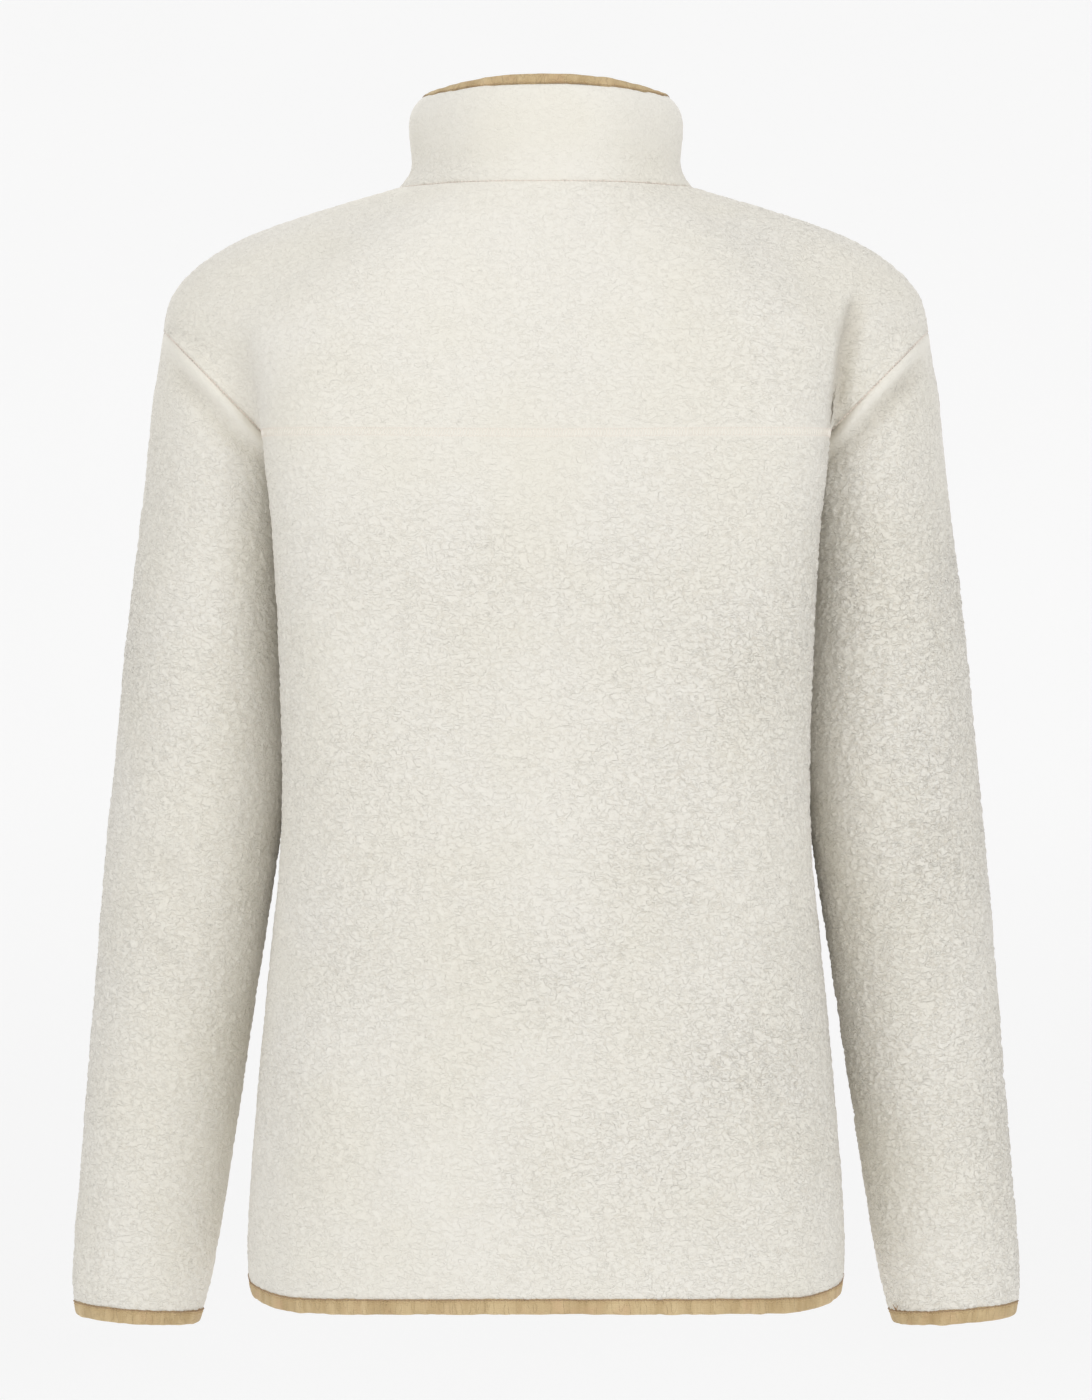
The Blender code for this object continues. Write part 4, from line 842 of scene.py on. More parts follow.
def fleece_finish(settings):
    """Sherpa pile: soft crumbs parted by thin clefts darkened with painted shade, with fine wool in each."""
    graph = Graph(PILE_NAME)
    colour = settings.colour
    place = graph.place(CRUMB_STRETCH)
    per_metre = 1.0 / settings.crumb_size
    drift = graph.noise(place, per_metre * 1.1, 2.0, "Color")
    warp = graph.node("ShaderNodeVectorMath", {"operation": "MULTIPLY"}, {0: drift, 1: (CRUMB_DRIFT,) * 3})
    bent = graph.node("ShaderNodeVectorMath", {"operation": "ADD"}, {0: place, 1: warp})
    broad = graph.noise(bent, per_metre * 0.85, 2.0).line(0.045)
    small = graph.noise(bent, per_metre * 1.55, 1.0).line(0.070)
    kept = graph.noise(place, per_metre * 0.9, 1.0).between(0.40, 0.60)
    other = graph.noise(place, per_metre * 0.75, 1.0).between(0.44, 0.62)
    clefts = (broad * kept).larger(small * (1.0 - kept) * 0.8).larger(small * other * 0.7)
    heart = graph.noise(bent, per_metre * 1.35, 0.0)
    wool = graph.noise(place, WOOL_SCALE, 3.0)
    curls = graph.noise(bent, CURL_SCALE, 3.0)
    strength = graph.field("pile")
    # painted shade: the clefts between crumbs are darkened in the colour
    dark = (clefts * strength * 0.32 + graph.field("cleft") * 0.10).clamped()
    stains = graph.noise(graph.place(), 14.0, 2.0).between(0.3, 0.75)
    base = graph.mix(stains, tinted(colour, (1.0, 1.0, 1.01)), tinted(colour, (0.985, 0.98, 0.965)))
    shaded = graph.mix(dark, base, tinted(colour, (0.84, 0.80, 0.745)))
    # painted shade: the pile's colour is darkened in deep creases and in the sleeves' troughs
    crease_shaded = graph.mix(graph.field("fold") * 0.9, shaded, tinted(colour, (0.74, 0.715, 0.68)))
    height = clefts * -0.00026 + heart * -0.00045 + curls * 0.00085 + wool * 0.00018
    return graph.finish(
        Base_Color=graph.mix(graph.field("seam") * 0.22, crease_shaded, tinted(colour, (0.92, 0.85, 0.80))),
        Roughness=0.95,
        Specular_IOR_Level=0.15,
        Sheen_Weight=0.55,
        Sheen_Roughness=0.50,
        Sheen_Tint=(1.0, 0.97, 0.92),
        Normal=graph.bump(height * (strength * 0.80 + 0.20)),
    )


def binding_finish(settings):
    """Knitted elastic tape: fine lengthways ribs, and puckers across that are painted lighter where raised
    and darker where sunk.
    """
    graph = Graph("binding_knit")
    place = graph.place()
    pucker = graph.field("pucker")
    tone = graph.noise(graph.place((1.0, 1.0, 0.12)), 190.0, 2.0)
    fine = graph.noise(graph.place((1.0, 1.0, 0.35)), 800.0, 2.0)
    ribs = (graph.field("across") * (FULL_TURN / RIB_PITCH)).wave()
    loops = (graph.field("along") * (FULL_TURN / LOOP_PITCH)).wave()
    colour = settings.binding_colour
    light = tinted(colour, (1.22, 1.27, 1.38))
    dark = tinted(colour, (0.80, 0.76, 0.72))
    pinkish = tinted(colour, (1.04, 0.90, 0.98))
    # painted light on the raised puckers and painted shade in the sunk ones, over a tone that differs at
    # random
    body = graph.mix((tone * 1.3 - 0.25 + pucker * 0.35).clamped(), dark, light)
    body = graph.mix(graph.noise(place, 70.0, 1.0).between(0.5, 0.8) * 0.5, body, pinkish)
    folds = graph.noise(graph.place((1.0, 1.0, 0.30)), 240.0, 1.0).line(0.035) * (1.0 - tone * 0.5)
    # painted shade in the grooves of the ribs and loops and in the small folds
    body = graph.mix((1.0 - ribs) * 0.16 + (1.0 - loops) * 0.12 + folds * 0.40, body, dark)
    height = ribs * 0.00010 + loops * 0.00008 + fine * 0.00020 - folds * 0.00030
    return graph.finish(
        # painted shadow of the overhanging pile where the tape meets the fleece
        Base_Color=graph.mix(graph.field("rim") * 0.45, body, tinted(colour, (0.52, 0.47, 0.44))),
        Roughness=0.85,
        Specular_IOR_Level=0.25,
        Sheen_Weight=0.12,
        Sheen_Roughness=0.5,
        Normal=graph.bump(height),
    )


def thread_finish(name, colour):
    """Spun thread, a little uneven in colour."""
    graph = Graph(name)
    place = graph.place()
    tone = graph.noise(place, 480.0, 2.0)
    strands = graph.noise(graph.place((1.0, 1.0, 0.4)), 2400.0, 1.0)
    return graph.finish(
        Base_Color=graph.mix(tone, tinted(colour, (0.86, 0.84, 0.82)), tinted(colour, (1.08, 1.08, 1.10))),
        Roughness=0.7,
        Sheen_Weight=0.1,
        Normal=graph.bump(strands * 0.00008),
    )


def tape_finish(settings):
    """Woven zip tape: a fine herringbone of ribs."""
    graph = Graph("zip_tape_weave")
    along, across = graph.field("along"), graph.field("across")
    zigzag = (across * (FULL_TURN / HERRINGBONE_WIDTH)).wave() * HERRINGBONE_RISE
    ribs = ((along + zigzag) * (FULL_TURN / WEAVE_PITCH)).wave()
    tone = graph.noise(graph.place(), 300.0, 2.0)
    light = tinted(settings.tape_colour, (1.06, 1.06, 1.06))
    dark = tinted(settings.tape_colour, (0.78, 0.76, 0.74))
    return graph.finish(
        # painted light on the weave's ribs and painted shade between them, mixed with a tone that differs at
        # random
        Base_Color=graph.mix(ribs * 0.6 + tone * 0.4, dark, light),
        Roughness=0.8,
        Sheen_Weight=0.08,
        Normal=graph.bump(ribs * 0.00009 + tone * 0.00006),
    )


def teeth_finish(settings):
    """Moulded coil: satin, with fine scuffs along it."""
    graph = Graph("zip_coil")
    tone = graph.noise(graph.place(), 210.0, 2.0)
    scuffs = graph.noise(graph.place((1.0, 1.0, 0.25)), 1500.0, 2.0)
    return graph.finish(
        Base_Color=graph.mix(tone, settings.teeth_colour, tinted(settings.teeth_colour, (0.88, 0.87, 0.85))),
        Roughness=scuffs * 0.25 + 0.30,
        Normal=graph.bump(scuffs * 0.00003),
    )


def metal_finish(settings):
    """A satin coating with fine brushed lines and slightly worn edges."""
    graph = Graph("zip_metal")
    brushed = graph.noise(graph.place((1.0, 1.0, 0.06)), 2600.0, 3.0)
    smears = graph.noise(graph.place(), 160.0, 3.0)
    worn = smears.between(0.52, 0.72) * 0.5
    return graph.finish(
        Base_Color=graph.mix(worn, settings.metal_colour, tinted(settings.metal_colour, (0.80, 0.79, 0.78))),
        Metallic=0.9,
        Roughness=brushed * 0.22 + smears * 0.14 + 0.18,
        Normal=graph.bump(brushed * 0.00002),
    )


# ------------------------------------------------------------------ cloth pieces

ARMHOLE_LEAN = 0.006  # the cloth's directions turn into the armhole's plane over this distance
TAPER_LEAST, TAPER_MOST, TAPER_END_X = 0.14, 0.78, 0.074  # shares of the collar binding's width
CREASE_WANDER, CREASE_WANDER_SIZE, CREASE_FACING = 0.25, 0.030, 0.35
PAINTED_SHADE_DEPTH = 0.012  # a crease this deep gets its full painted shade
RAGGED_EDGE, RAGGED_SIZE = 0.0006, 0.006  # the pile's edge beside a binding
LINING_CLEARANCE = 0.0002
YOKE_SHARES_TOP, FRONT_SHARES_TOP = -0.02, -0.05  # highest levels that the columns are spaced by
EDGE_FREE = 0.16  # within this share of a section's end its rows are evened out less


def soft_creases(points, normals):
    """How far the creases move each point along Y, and how deep in one it lies, from 0 to 1, which sets the
    painted shade in its colour.
    """
    moved = np.zeros(points.shape[:2])
    painted_shade = np.zeros(points.shape[:2])
    wander = 1.0 + CREASE_WANDER * lumps(points, CREASE_WANDER_SIZE, 91)
    flat = points[..., (0, 2)]
    for row in CREASES:
        crease = dict(zip(CREASE_COLUMNS, row))
        path = np.array(crease["path"])
        distance = np.full(points.shape[:2], FAR)
        depth, inside = np.zeros(points.shape[:2]), np.zeros(points.shape[:2], bool)
        for (x, z, start), (next_x, next_z, end) in zip(path[:-1], path[1:]):
            run = np.array([next_x - x, next_z - z])
            offset = flat - np.array([x, z])
            along = np.clip((offset @ run) / (run @ run), 0.0, 1.0)
            away = offset - along[..., None] * run
            here = np.linalg.norm(away, axis=-1)
            nearer = here < distance
            distance = np.where(nearer, here, distance)
            depth = np.where(nearer, start + (end - start) * along, depth)
            inside = np.where(nearer, away[..., 0] * np.sign(x) < 0, inside)
        width = np.where(inside, crease["inner_width"], crease["outer_width"])
        facing = smooth_step(normals[..., 1] * crease["face"] / CREASE_FACING)
        share = np.exp(-((distance * wander / width) ** 2)) * facing
        moved -= crease["face"] * depth * share
        painted_shade = np.maximum(painted_shade, np.clip(depth / PAINTED_SHADE_DEPTH, 0.0, 1.0) * share)
    return moved, painted_shade


def pile_strength(points):
    """How coarse the pile looks: smoother high up and at the hem, coarser to the wearer's right."""
    x, z = points[..., 0], points[..., 2]
    across = np.interp(x, *zip(*PILE_ACROSS))
    low = smooth_step((PILE_SMOOTH_ABOVE - z) / PILE_SMOOTH_HEIGHT)
    patchy = 1.0 + PILE_PATCHES * lumps(points, PILE_PATCH_SIZE, 7)
    foot = smooth_step((PILE_FOOT_BELOW - z) / PILE_FOOT_HEIGHT)
    return across * patchy * (PILE_SMOOTH + (1.0 - PILE_SMOOTH) * low) * (1.0 - (1.0 - PILE_FOOT) * foot)


def pile(points, directions, seams, pressed, settings, strength):
    """Outer points with their pile, and the fields that its finish reads.

    seams is how near each point is to a seam, from 0 to 1, and pressed how far a binding or
    stitching holds the pile down.
    """
    crumb = crumbs(points, settings.crumb_size, 5)
    soft = lumps(points, SOFT_SIZE, 31)
    calm = (1.0 - 0.75 * np.maximum(seams, pressed)) * strength
    stand = calm * (settings.crumb_height * (crumb - CRUMB_MIDDLE) + SOFT_HEIGHT * soft)
    stand -= SEAM_DIP * seams
    fields = {
        "pile": strength * (1.0 - 0.6 * pressed),
        # where painted shade goes in the clefts between crumbs
        "cleft": np.clip(1.0 - crumb * 1.6, 0.0, 1.0) * calm,
        "seam": seams**3,
    }
    return points + directions * stand[..., None], fields


def near(distance, width):
    """1 where the distance is 0, fading out past the width."""
    return np.exp(-((distance / width) ** 2))


def binding_dip(distance):
    """How far the pile is pressed in beside a bound edge, by the distance from that edge."""
    return BOUND_DIP * (1.0 - smooth_step((distance - BINDING_WIDTH + FINE_EASE / 2) / FINE_EASE))


def leaning(points, normals, from_armhole, side):
    """Directions out of the cloth that lean into the armhole's plane beside it."""
    weight = near(from_armhole, ARMHOLE_LEAN)[..., None]
    return unit(normals * (1.0 - weight) + armhole_outward(points, side) * weight)


def fleece_piece(
    name, points, seams, edge_distance, finish, settings, strength, closed=False, armholes=(), painted_shade=0.0,
):
    """A panel of fleece on its surface, with its plain inner side, and the size of its cut.

    armholes holds, for each armhole that the panel meets, its side and the points' distances.
    """
    normals = grid_normals(points, closed)
    directions = normals
    for side, from_armhole in armholes:
        directions = leaning(points, directions, from_armhole, side)
    cut = cut_size(points, closed)
    points = points.copy()
    moved, crease_shaded = soft_creases(points, normals)
    points[..., 1] += moved
    pressed = binding_dip(edge_distance) / BOUND_DIP
    ragged = RAGGED_EDGE * lumps(points, RAGGED_SIZE, 57)
    dip = binding_dip(edge_distance + ragged)
    piled, fields = pile(points, directions, seams, pressed, settings, strength)
    # the share of painted shade that each point gets in a crease or a sleeve's trough
    fields["fold"] = np.maximum(crease_shaded, painted_shade)
    outer = piled - directions * dip[..., None]
    thickness = BOUND_CLOTH + (CLOTH - BOUND_CLOTH) * (1.0 - pressed)
    skin = points - normals * (BOUND_DIP * pressed)[..., None]
    lining = skin - directions * (thickness + LINING_CLEARANCE)[..., None]
    inner = lining[::LINING_STEP, ::LINING_STEP]
    return cloth_shell(name, outer, inner, normals, finish, closed, fields), cut


def declare(piece, cut, node):
    """Hides the solid that a cloth piece stands for. The size of its cut is not used."""
    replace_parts(piece, node)


def flat_seams(points, top=True):
    """How near the points of a panel are to the seams at its two ends, and at its top."""
    down, along = grid_runs(points)
    seams = np.maximum(near(along, SEAM_DIP_WIDTH), near(along[:, -1:] - along, SEAM_DIP_WIDTH))
    return np.maximum(seams, near(down, SEAM_DIP_WIDTH)) if top else seams


def from_armholes(points, levels, ends):
    """For each side, how far along its row a point is from the armhole that the row ends on."""
    _, along = grid_runs(points)
    result = []
    for side, last in ends:
        run = along[:, -1:] - along if last else along
        result.append((side, np.where(on_armhole(levels)[:, None], run, FAR)))
    return result


def relaxed_back(levels, shares):
    """A whole back panel's fine grid, evened out away from its two ends."""
    free = (1.0 - np.concatenate([shares[::-1], shares[1:]])) / EDGE_FREE
    return relaxed(back_grid(levels, shares), free)


def off_seam(points):
    """Draws a grid's first row a hair back from the seam that it lies on."""
    points[0] += unit(points[1] - points[0]) * HAIR
    return points


def above_hem(points, levels):
    """How far each point of a body panel stands above the hem."""
    return np.broadcast_to((levels - HEM_LEVEL)[:, None], points.shape[:2])


def back_piece(name, points, levels, from_yoke, seams, edge_distance, finish, settings):
    """A panel of the back, pressed flat beside the yoke seam."""
    banded = 1.0 - smooth_step((from_yoke - YOKE_BAND) / YOKE_BAND_EASE)
    strength = pile_strength(points) * (1.0 - YOKE_BAND_CALM * banded)
    armholes = from_armholes(points, levels, ((1, False), (-1, True)))
    points = points - grid_normals(points) * (YOKE_BAND_DIP * banded)[..., None]
    return fleece_piece(name, points, seams, edge_distance, finish, settings, strength, armholes=armholes)


def back_yoke_piece(finish, settings):
    spacing = settings.pile_spacing * YOKE_SPACING
    levels = fine_levels(NECK_LEVEL, YOKE_LEVEL, 1, spacing)
    shares = fine_shares(YOKE_SHARES_TOP, YOKE_LEVEL, 1, spacing)
    points = off_seam(relaxed_back(levels, shares))
    down, _ = grid_runs(points)
    far = np.full(points.shape[:2], FAR)
    from_yoke = down[-1:] - down
    return back_piece("fleece_yoke", points, levels, from_yoke, flat_seams(points), far, finish, settings)


def back_panel_piece(finish, settings):
    levels = fine_levels(YOKE_LEVEL, HEM_LEVEL, 1, settings.pile_spacing)
    shares = fine_shares(YOKE_LEVEL, HEM_LEVEL, 1, settings.pile_spacing)
    points = relaxed_back(levels, shares)
    from_yoke, _ = grid_runs(points)
    on_seams = flat_seams(points, top=False)
    edge_distance = above_hem(points, levels)
    return back_piece("fleece_back", points, levels, from_yoke, on_seams, edge_distance, finish, settings)


def front_fleece_piece(name, side, finish, settings):
    spacing = settings.pile_spacing * FRONT_SPACING
    levels = fine_levels(NECK_LEVEL, HEM_LEVEL, -1, spacing)
    shares = fine_shares(FRONT_SHARES_TOP, HEM_LEVEL, -1, spacing)
    points = off_seam(relaxed(body_grid(levels, shares, -1, side), (1.0 - shares) / EDGE_FREE))
    armholes = from_armholes(points, levels, ((side, True),))
    return fleece_piece(
        name, points, flat_seams(points), above_hem(points, levels), finish, settings,
        pile_strength(points), armholes=armholes,
    )


def sleeve_fine(side, spacing):
    """A sleeve's fine grid of points, with the distances from its armhole and from its cuff's edge."""

    def columns_at(turns):
        return sleeve_points(SLEEVE_PROBES, turns, side).transpose(1, 0, 2)

    turns_open = spread(columns_at, 0.0, 360.0, spacing)
    along = spread(lambda at: sleeve_points(at, TURN_PROBES, side), 0.0, 1.0, spacing)
    points = sleeve_points(along, turns_open[:-1], side)
    points[0] += into_sleeve(side) * HAIR
    down, _ = grid_runs(points)
    return points, down, down[-1:] - down


def sleeve_piece(name, side, finish, settings):
    """A sleeve, with the turned seam's ridge and trough over its upper part."""
    points, from_armhole, from_cuff = sleeve_fine(side, settings.pile_spacing)
    normals = grid_normals(points, closed=True)
    upper = smooth_step((points[..., 2] - ARMHOLE_FOOT[1] + CAP_BELOW_FOOT) / CAP_RISE)
    upper *= smooth_step((np.abs(normals[..., 1]) - CAP_FACING) / CAP_FACING_EASE)
    ridge = CAP_RIDGE_HEIGHT * near(from_armhole - CAP_RIDGE_AT, CAP_RIDGE_WIDTH)
    trough = CAP_TROUGH_DEPTH * near(from_armhole - CAP_TROUGH_AT, CAP_TROUGH_WIDTH)
    points = points + normals * ((ridge - trough) * upper)[..., None]
    seams = near(from_armhole, SEAM_DIP_WIDTH)
    smooth_cap = 1.0 - CAP_CALM * near(from_armhole - CAP_RIDGE_AT, CAP_RIDGE_WIDTH * CAP_CALM_WIDTH)
    strength = pile_strength(points) * smooth_cap
    armholes = ((side, from_armhole),)
    # painted shade in the trough, stronger on the right sleeve
    painted_shade = CAP_PAINTED_SHADES[side] * near(from_armhole - CAP_TROUGH_AT, CAP_TROUGH_WIDTH) * upper
    return fleece_piece(name, points, seams, from_cuff, finish, settings, strength, True, armholes, painted_shade)


def collar_fine(height, spacing):
    """The collar's grid, from the zip round the back of the neck to the zip."""
    half = LINING_STEP // 2
    across = [fine_shares(NECK_LEVEL, COLLAR_SHARES_FOOT, face, spacing, half) for face in (-1, 1)]
    return round_the_neck(*across, lambda face, side, at: collar_points(height, at, face, side))


def collar_taper(x):
    """Share of its whole width that the collar's binding shows, by the place round the collar."""
    return TAPER_LEAST + (TAPER_MOST - TAPER_LEAST) * np.sqrt(np.clip(1.0 - (x / TAPER_END_X) ** 2, 0.0, 1.0))


def collar_fleece_piece(finish, settings):
    spacing = settings.pile_spacing * YOKE_SPACING
    height = spread(lambda at: collar_points(at, PROBES, 1, 1), 0.0, 1.0, spacing)
    points = off_seam(collar_fine(height, spacing))
    from_edge = ((1.0 - height) * COLLAR_LENGTH)[:, None]
    edge_distance = from_edge + BINDING_WIDTH * (1.0 - collar_taper(points[-1, :, 0]))
    low = 1.0 - smooth_step(height / COLLAR_FOOT)[:, None]
    to_side = smooth_step(np.abs(points[..., 0]) / COLLAR_FOOT_X)
    strength = COLLAR_PILE * (1.0 + COLLAR_FOOT_PILE * low * to_side)
    return fleece_piece(
        "fleece_collar", points, flat_seams(points), edge_distance, finish, settings, strength,
    )


# ------------------------------------------------------------------ bindings

# The fold's section: out of the cloth, up from its edge, and across the tape. Its last corners lie
# on the cloth and stay smooth, and its first ones are the tape's ragged rim.
BINDING_SECTION = (
    (-0.00125, 0.00790, 0.0000),
    (-0.00060, 0.00820, 0.0004),
    (-0.00020, 0.00790, 0.0008),
    (-0.00002, 0.00680, 0.0018),
    (0.00006, 0.00520, 0.0034),
    (0.00006, 0.00340, 0.0052),
    (-0.00002, 0.00170, 0.0069),
    (-0.00020, 0.00020, 0.0084),
    (-0.00070, -0.00080, 0.0095),
    (-0.00135, -0.00135, 0.0104),
    (-0.00210, -0.00150, 0.0112),
    (-0.00290, -0.00130, 0.0120),
    (-0.00350, -0.00070, 0.0129),
    (-0.00385, 0.00030, 0.0140),
    (-0.00395, 0.00200, 0.0157),
    (-0.00400, 0.00450, 0.0182),
    (-0.00395, 0.00680, 0.0205),
    (-0.00370, 0.00800, 0.0217),
    (-0.00300, 0.00780, 0.0220),
    (-0.00300, 0.00060, 0.0220),
    (-0.00125, 0.00060, 0.0220),
)
TAPE_CUT = 0.0209  # width of the binding's tape before it is folded
HEM_SHARES_TOP = -0.60
SMOOTH_CORNERS, RIM_CORNERS = 3, 3
# The first two place the painted shadow that the pile casts where the tape meets the fleece.
PILE_SHADOW_HEIGHT, PILE_SHADOW_WIDTH, RIM_RAGGED, RIM_RAGGED_SIZE = 0.0082, 0.00055, 0.00025, 0.0025
OUTER_SIDE = -0.002  # corners further out than this lie on the outer side
PUCKER_LENGTH, PUCKER_HEIGHT, PUCKER_STRETCH = 0.0075, 0.00045, (1.0, 1.0, 0.25)
# Rows of stitches along a binding: the heights they run between, how far out, their pitch.
STITCH_ROW = (0.0064, 0.0055, 0.00010, 0.0014)
DOT_ROW = (0.0080, 0.0073, 0.00012, 0.0019)
STITCH_RADIUS, DOT_RADIUS, COLLAR_DOT_RADIUS = 0.00018, 0.00034, 0.00022
ROW_END = 0.002  # a row of stitches stops this far from the binding's ends
LOOSE_LIFT, LOOSE_RADIUS = 0.0016, 0.00034


def edge_strip(inner_line, edge, closed):
    """A bound edge's directions out of the cloth and along the cloth, away from the edge."""
    normals = grid_normals(np.stack([inner_line, edge]), closed)[1]
    return normals, (inner_line - edge) / BINDING_WIDTH


def even_stations(line, others, pitch, closed):
    """Points along a line at an even pitch, with other arrays read at the same places."""
    ring = np.concatenate([line, line[:1]]) if closed else line
    run = np.concatenate([[0.0], np.linalg.norm(np.diff(ring, axis=0), axis=1).cumsum()])
    count = max(4, round(run[-1] / pitch))
    at = np.linspace(0.0, run[-1], count + 1)
    at = at[:-1] if closed else at

    def read(values):
        whole = np.concatenate([values, values[:1]]) if closed else values
        return np.stack([np.interp(at, run, whole[:, i]) for i in range(whole.shape[1])], -1)

    return at, read(line), [read(values) for values in others]


def binding_piece(name, inner_line, edge, finish, settings, closed=False, taper=None):
    """Elastic tape folded over an edge, puckered all along. taper gives its shown share by x."""
    normals, up = edge_strip(inner_line, edge, closed)
    at, line, (out, rise) = even_stations(edge, (normals, up), settings.binding_spacing, closed)
    out = unit(out)
    section = np.array(BINDING_SECTION)
    shown = np.ones(len(line)) if taper is None else taper(line[:, 0])
    outer_side = section[:, :1] > OUTER_SIDE
    outer_band = (section[:, 1:2] > 0) & outer_side
    high = np.where(outer_band, section[:, 1:2] * shown, section[:, 1:2])
    rings = line + section[:, None, :1] * out + high[..., None] * rise
    stretched = rings * np.array(PUCKER_STRETCH)
    pucker = lumps(stretched, PUCKER_LENGTH, 71) + 0.5 * lumps(stretched, PUCKER_LENGTH / 2.2, 72)
    away = unit(rings - rings.mean(axis=0))
    outside = (np.arange(len(section)) < len(section) - SMOOTH_CORNERS)[:, None]
    rings = rings + away * (pucker * PUCKER_HEIGHT * outside)[..., None]
    rim = rings[:RIM_CORNERS]
    rim += rise * (RIM_RAGGED * lumps(rim, RIM_RAGGED_SIZE, 73))[..., None]
    shape = rings.shape[:2]
    fields = {
        "pucker": pucker,
        "along": np.broadcast_to(at, shape),
        "across": np.broadcast_to(section[:, 2:], shape),
        # the band of painted shadow from the overhanging pile
        "rim": np.broadcast_to(near(section[:, 1:2] - PILE_SHADOW_HEIGHT, PILE_SHADOW_WIDTH) * outer_side, shape),
    }
    piece = swept(name, rings, finish, closed, fields)
    length = float(np.linalg.norm(np.diff(line, axis=0), axis=1).sum() + (at[1] if closed else 0.0))
    area = length * (TAPE_CUT - BINDING_WIDTH * (1.0 - float(shown.mean())))
    return piece, (length, TAPE_CUT, area), (line, out, rise * shown[:, None], at)


def hem_lines(spacing):
    """The hem's edge after the line a binding's width above it, from the zip round to the zip."""
    levels = HEM_LEVEL + np.array([BINDING_WIDTH, 0.0])
    shares = [fine_shares(HEM_SHARES_TOP, HEM_LEVEL, face, spacing) for face in (-1, 1)]

    def quarter(face, side, at):
        return with_round_corners(body_points(levels, at, face, side))

    return tuple(round_the_neck(*shares, quarter))


def cuff_lines(side, spacing):
    """A cuff's edge after the line a binding's width above it, all round."""
    points, _, from_cuff = sleeve_fine(side, spacing)
    row = int(np.abs(from_cuff[:, 0] - BINDING_WIDTH).argmin())
    rise = unit(points[row] - points[-1]) * BINDING_WIDTH
    return points[-1] + rise, points[-1]


def collar_lines(spacing):
    """The collar's edge after the line a binding's width below it, from the zip round to the zip."""
    return tuple(collar_fine(1.0 - np.array([BINDING_WIDTH, 0.0]) / COLLAR_LENGTH, spacing))


def zigzag(name, strip, row, radius, finish):
    """A zigzag of stitches on a strip, between two heights above its edge."""
    line, normals, rise, at = strip
    high, low, out, pitch = row
    count = int((at[-1] - 2 * ROW_END) / pitch)
    places = np.linspace(ROW_END, at[-1] - ROW_END, count)

    def read(values):
        return np.stack([np.interp(places, at, values[:, i]) for i in range(3)], -1)

    where, outward, up = read(line), unit(read(normals)), read(rise)
    height = np.where(np.arange(count) % 2, high, low)[:, None]
    knots = where + outward * out + up * height
    threads(name, knots[:-1], knots[1:], outward[:-1], radius, finish, "binding_tape")


# Each tail: its x, then how far aside and up its start and its end lie.
LOOSE_ENDS = {
    "cuff_binding_right": (
        (-0.2225, -0.0022, 0.0128, 0.0002, 0.0086), (-0.2225, 0.0030, 0.0122, 0.0002, 0.0086),
        (-0.2225, -0.0006, 0.0112, 0.0016, 0.0084),
    ),
    "cuff_binding_left": (
        (0.2205, -0.0010, 0.0096, 0.0014, 0.0078), (0.2205, 0.0002, 0.0102, 0.0006, 0.0080),
    ),
}


def loose_ends(node, strip, finish):
    """Tails of thread left lying on the back of a bound edge."""
    line, normals, rise, _ = strip
    behind = np.where(normals[:, 1] > 0, line[:, 0], FAR)
    starts, ends, ups = [], [], []
    for x, start_aside, start_up, end_aside, end_up in LOOSE_ENDS[node]:
        at = int(np.abs(behind - x).argmin())
        foot = line[at] + normals[at] * LOOSE_LIFT
        aside = unit(np.cross(rise[at], normals[at]))
        starts.append(foot + aside * start_aside + rise[at] * start_up)
        ends.append(foot + aside * end_aside + rise[at] * end_up)
        ups.append(normals[at])
    ends_of = (np.array(starts), np.array(ends), np.array(ups))
    threads("tails_" + node, *ends_of, LOOSE_RADIUS, finish, "binding_tape")


# ------------------------------------------------------------------ sewing on the fleece

STITCH_LENGTH, STITCH_GAP = 0.0026, 0.05  # in the seams, with the gap as a share at each end
LADDER_HALF, LADDER_DEPTH, LADDER_SWAY, LADDER_RADIUS = 0.0024, 0.00030, 0.00025, 0.00034
LADDER_ROWS = (("yoke_row_top", 0, 0.00026), ("yoke_row_foot", 2, 0.00022))
ROW_DEPTH, ROW_GAP = 0.00005, 0.18


def dashes(name, line, out, gap, radius, finish, kept=slice(None)):
    """Stitches between the neighbouring points of a line, with a gap at each of their ends."""
    step = line[1:] - line[:-1]
    starts, ends = line[:-1] + step * gap, line[1:] - step * gap
    threads(name, starts[kept], ends[kept], out[:-1][kept], radius, finish, "sherpa_fleece")


def seam_threads(name, line, normals, finish, depth, radius):
    """A run of stitches end to end in a seam's groove."""
    _, places, (out,) = even_stations(line, (normals,), STITCH_LENGTH, False)
    dashes(name, places - unit(out) * depth, unit(out), STITCH_GAP, radius, finish)


def yoke_rows(heights, pitch):
    """Rows of points beside the yoke seam at an even pitch, with the directions out of the cloth."""
    shares = np.linspace(0.0, 1.0, 700)
    points = back_grid(YOKE_LEVEL + np.array(heights), shares)
    normals = grid_normals(points)
    middle = len(heights) // 2
    others = [points[i] for i in range(len(heights))] + [normals[middle]]
    _, _, rows = even_stations(points[middle], others, pitch, False)
    return rows[:-1], unit(rows[-1])


def yoke_ladder(light, pale, settings):
    """The flat stitching over the yoke seam: upright ticks between two fine rows."""
    rows, out = yoke_rows((LADDER_HALF, 0.0, -LADDER_HALF), settings.ladder_pitch)
    upper, middle, lower = rows
    sunk = out * -LADDER_DEPTH
    sway = unit(np.gradient(middle, axis=0)) * LADDER_SWAY
    kept = slice(2, -2)
    ticks = (upper + sunk + sway)[kept], (lower + sunk - sway)[kept], out[kept]
    threads("yoke_ladder", *ticks, LADDER_RADIUS, light, "sherpa_fleece")
    for name, row, radius in LADDER_ROWS:
        dashes(name, rows[row] + out * -ROW_DEPTH, out, ROW_GAP, radius, pale, kept)


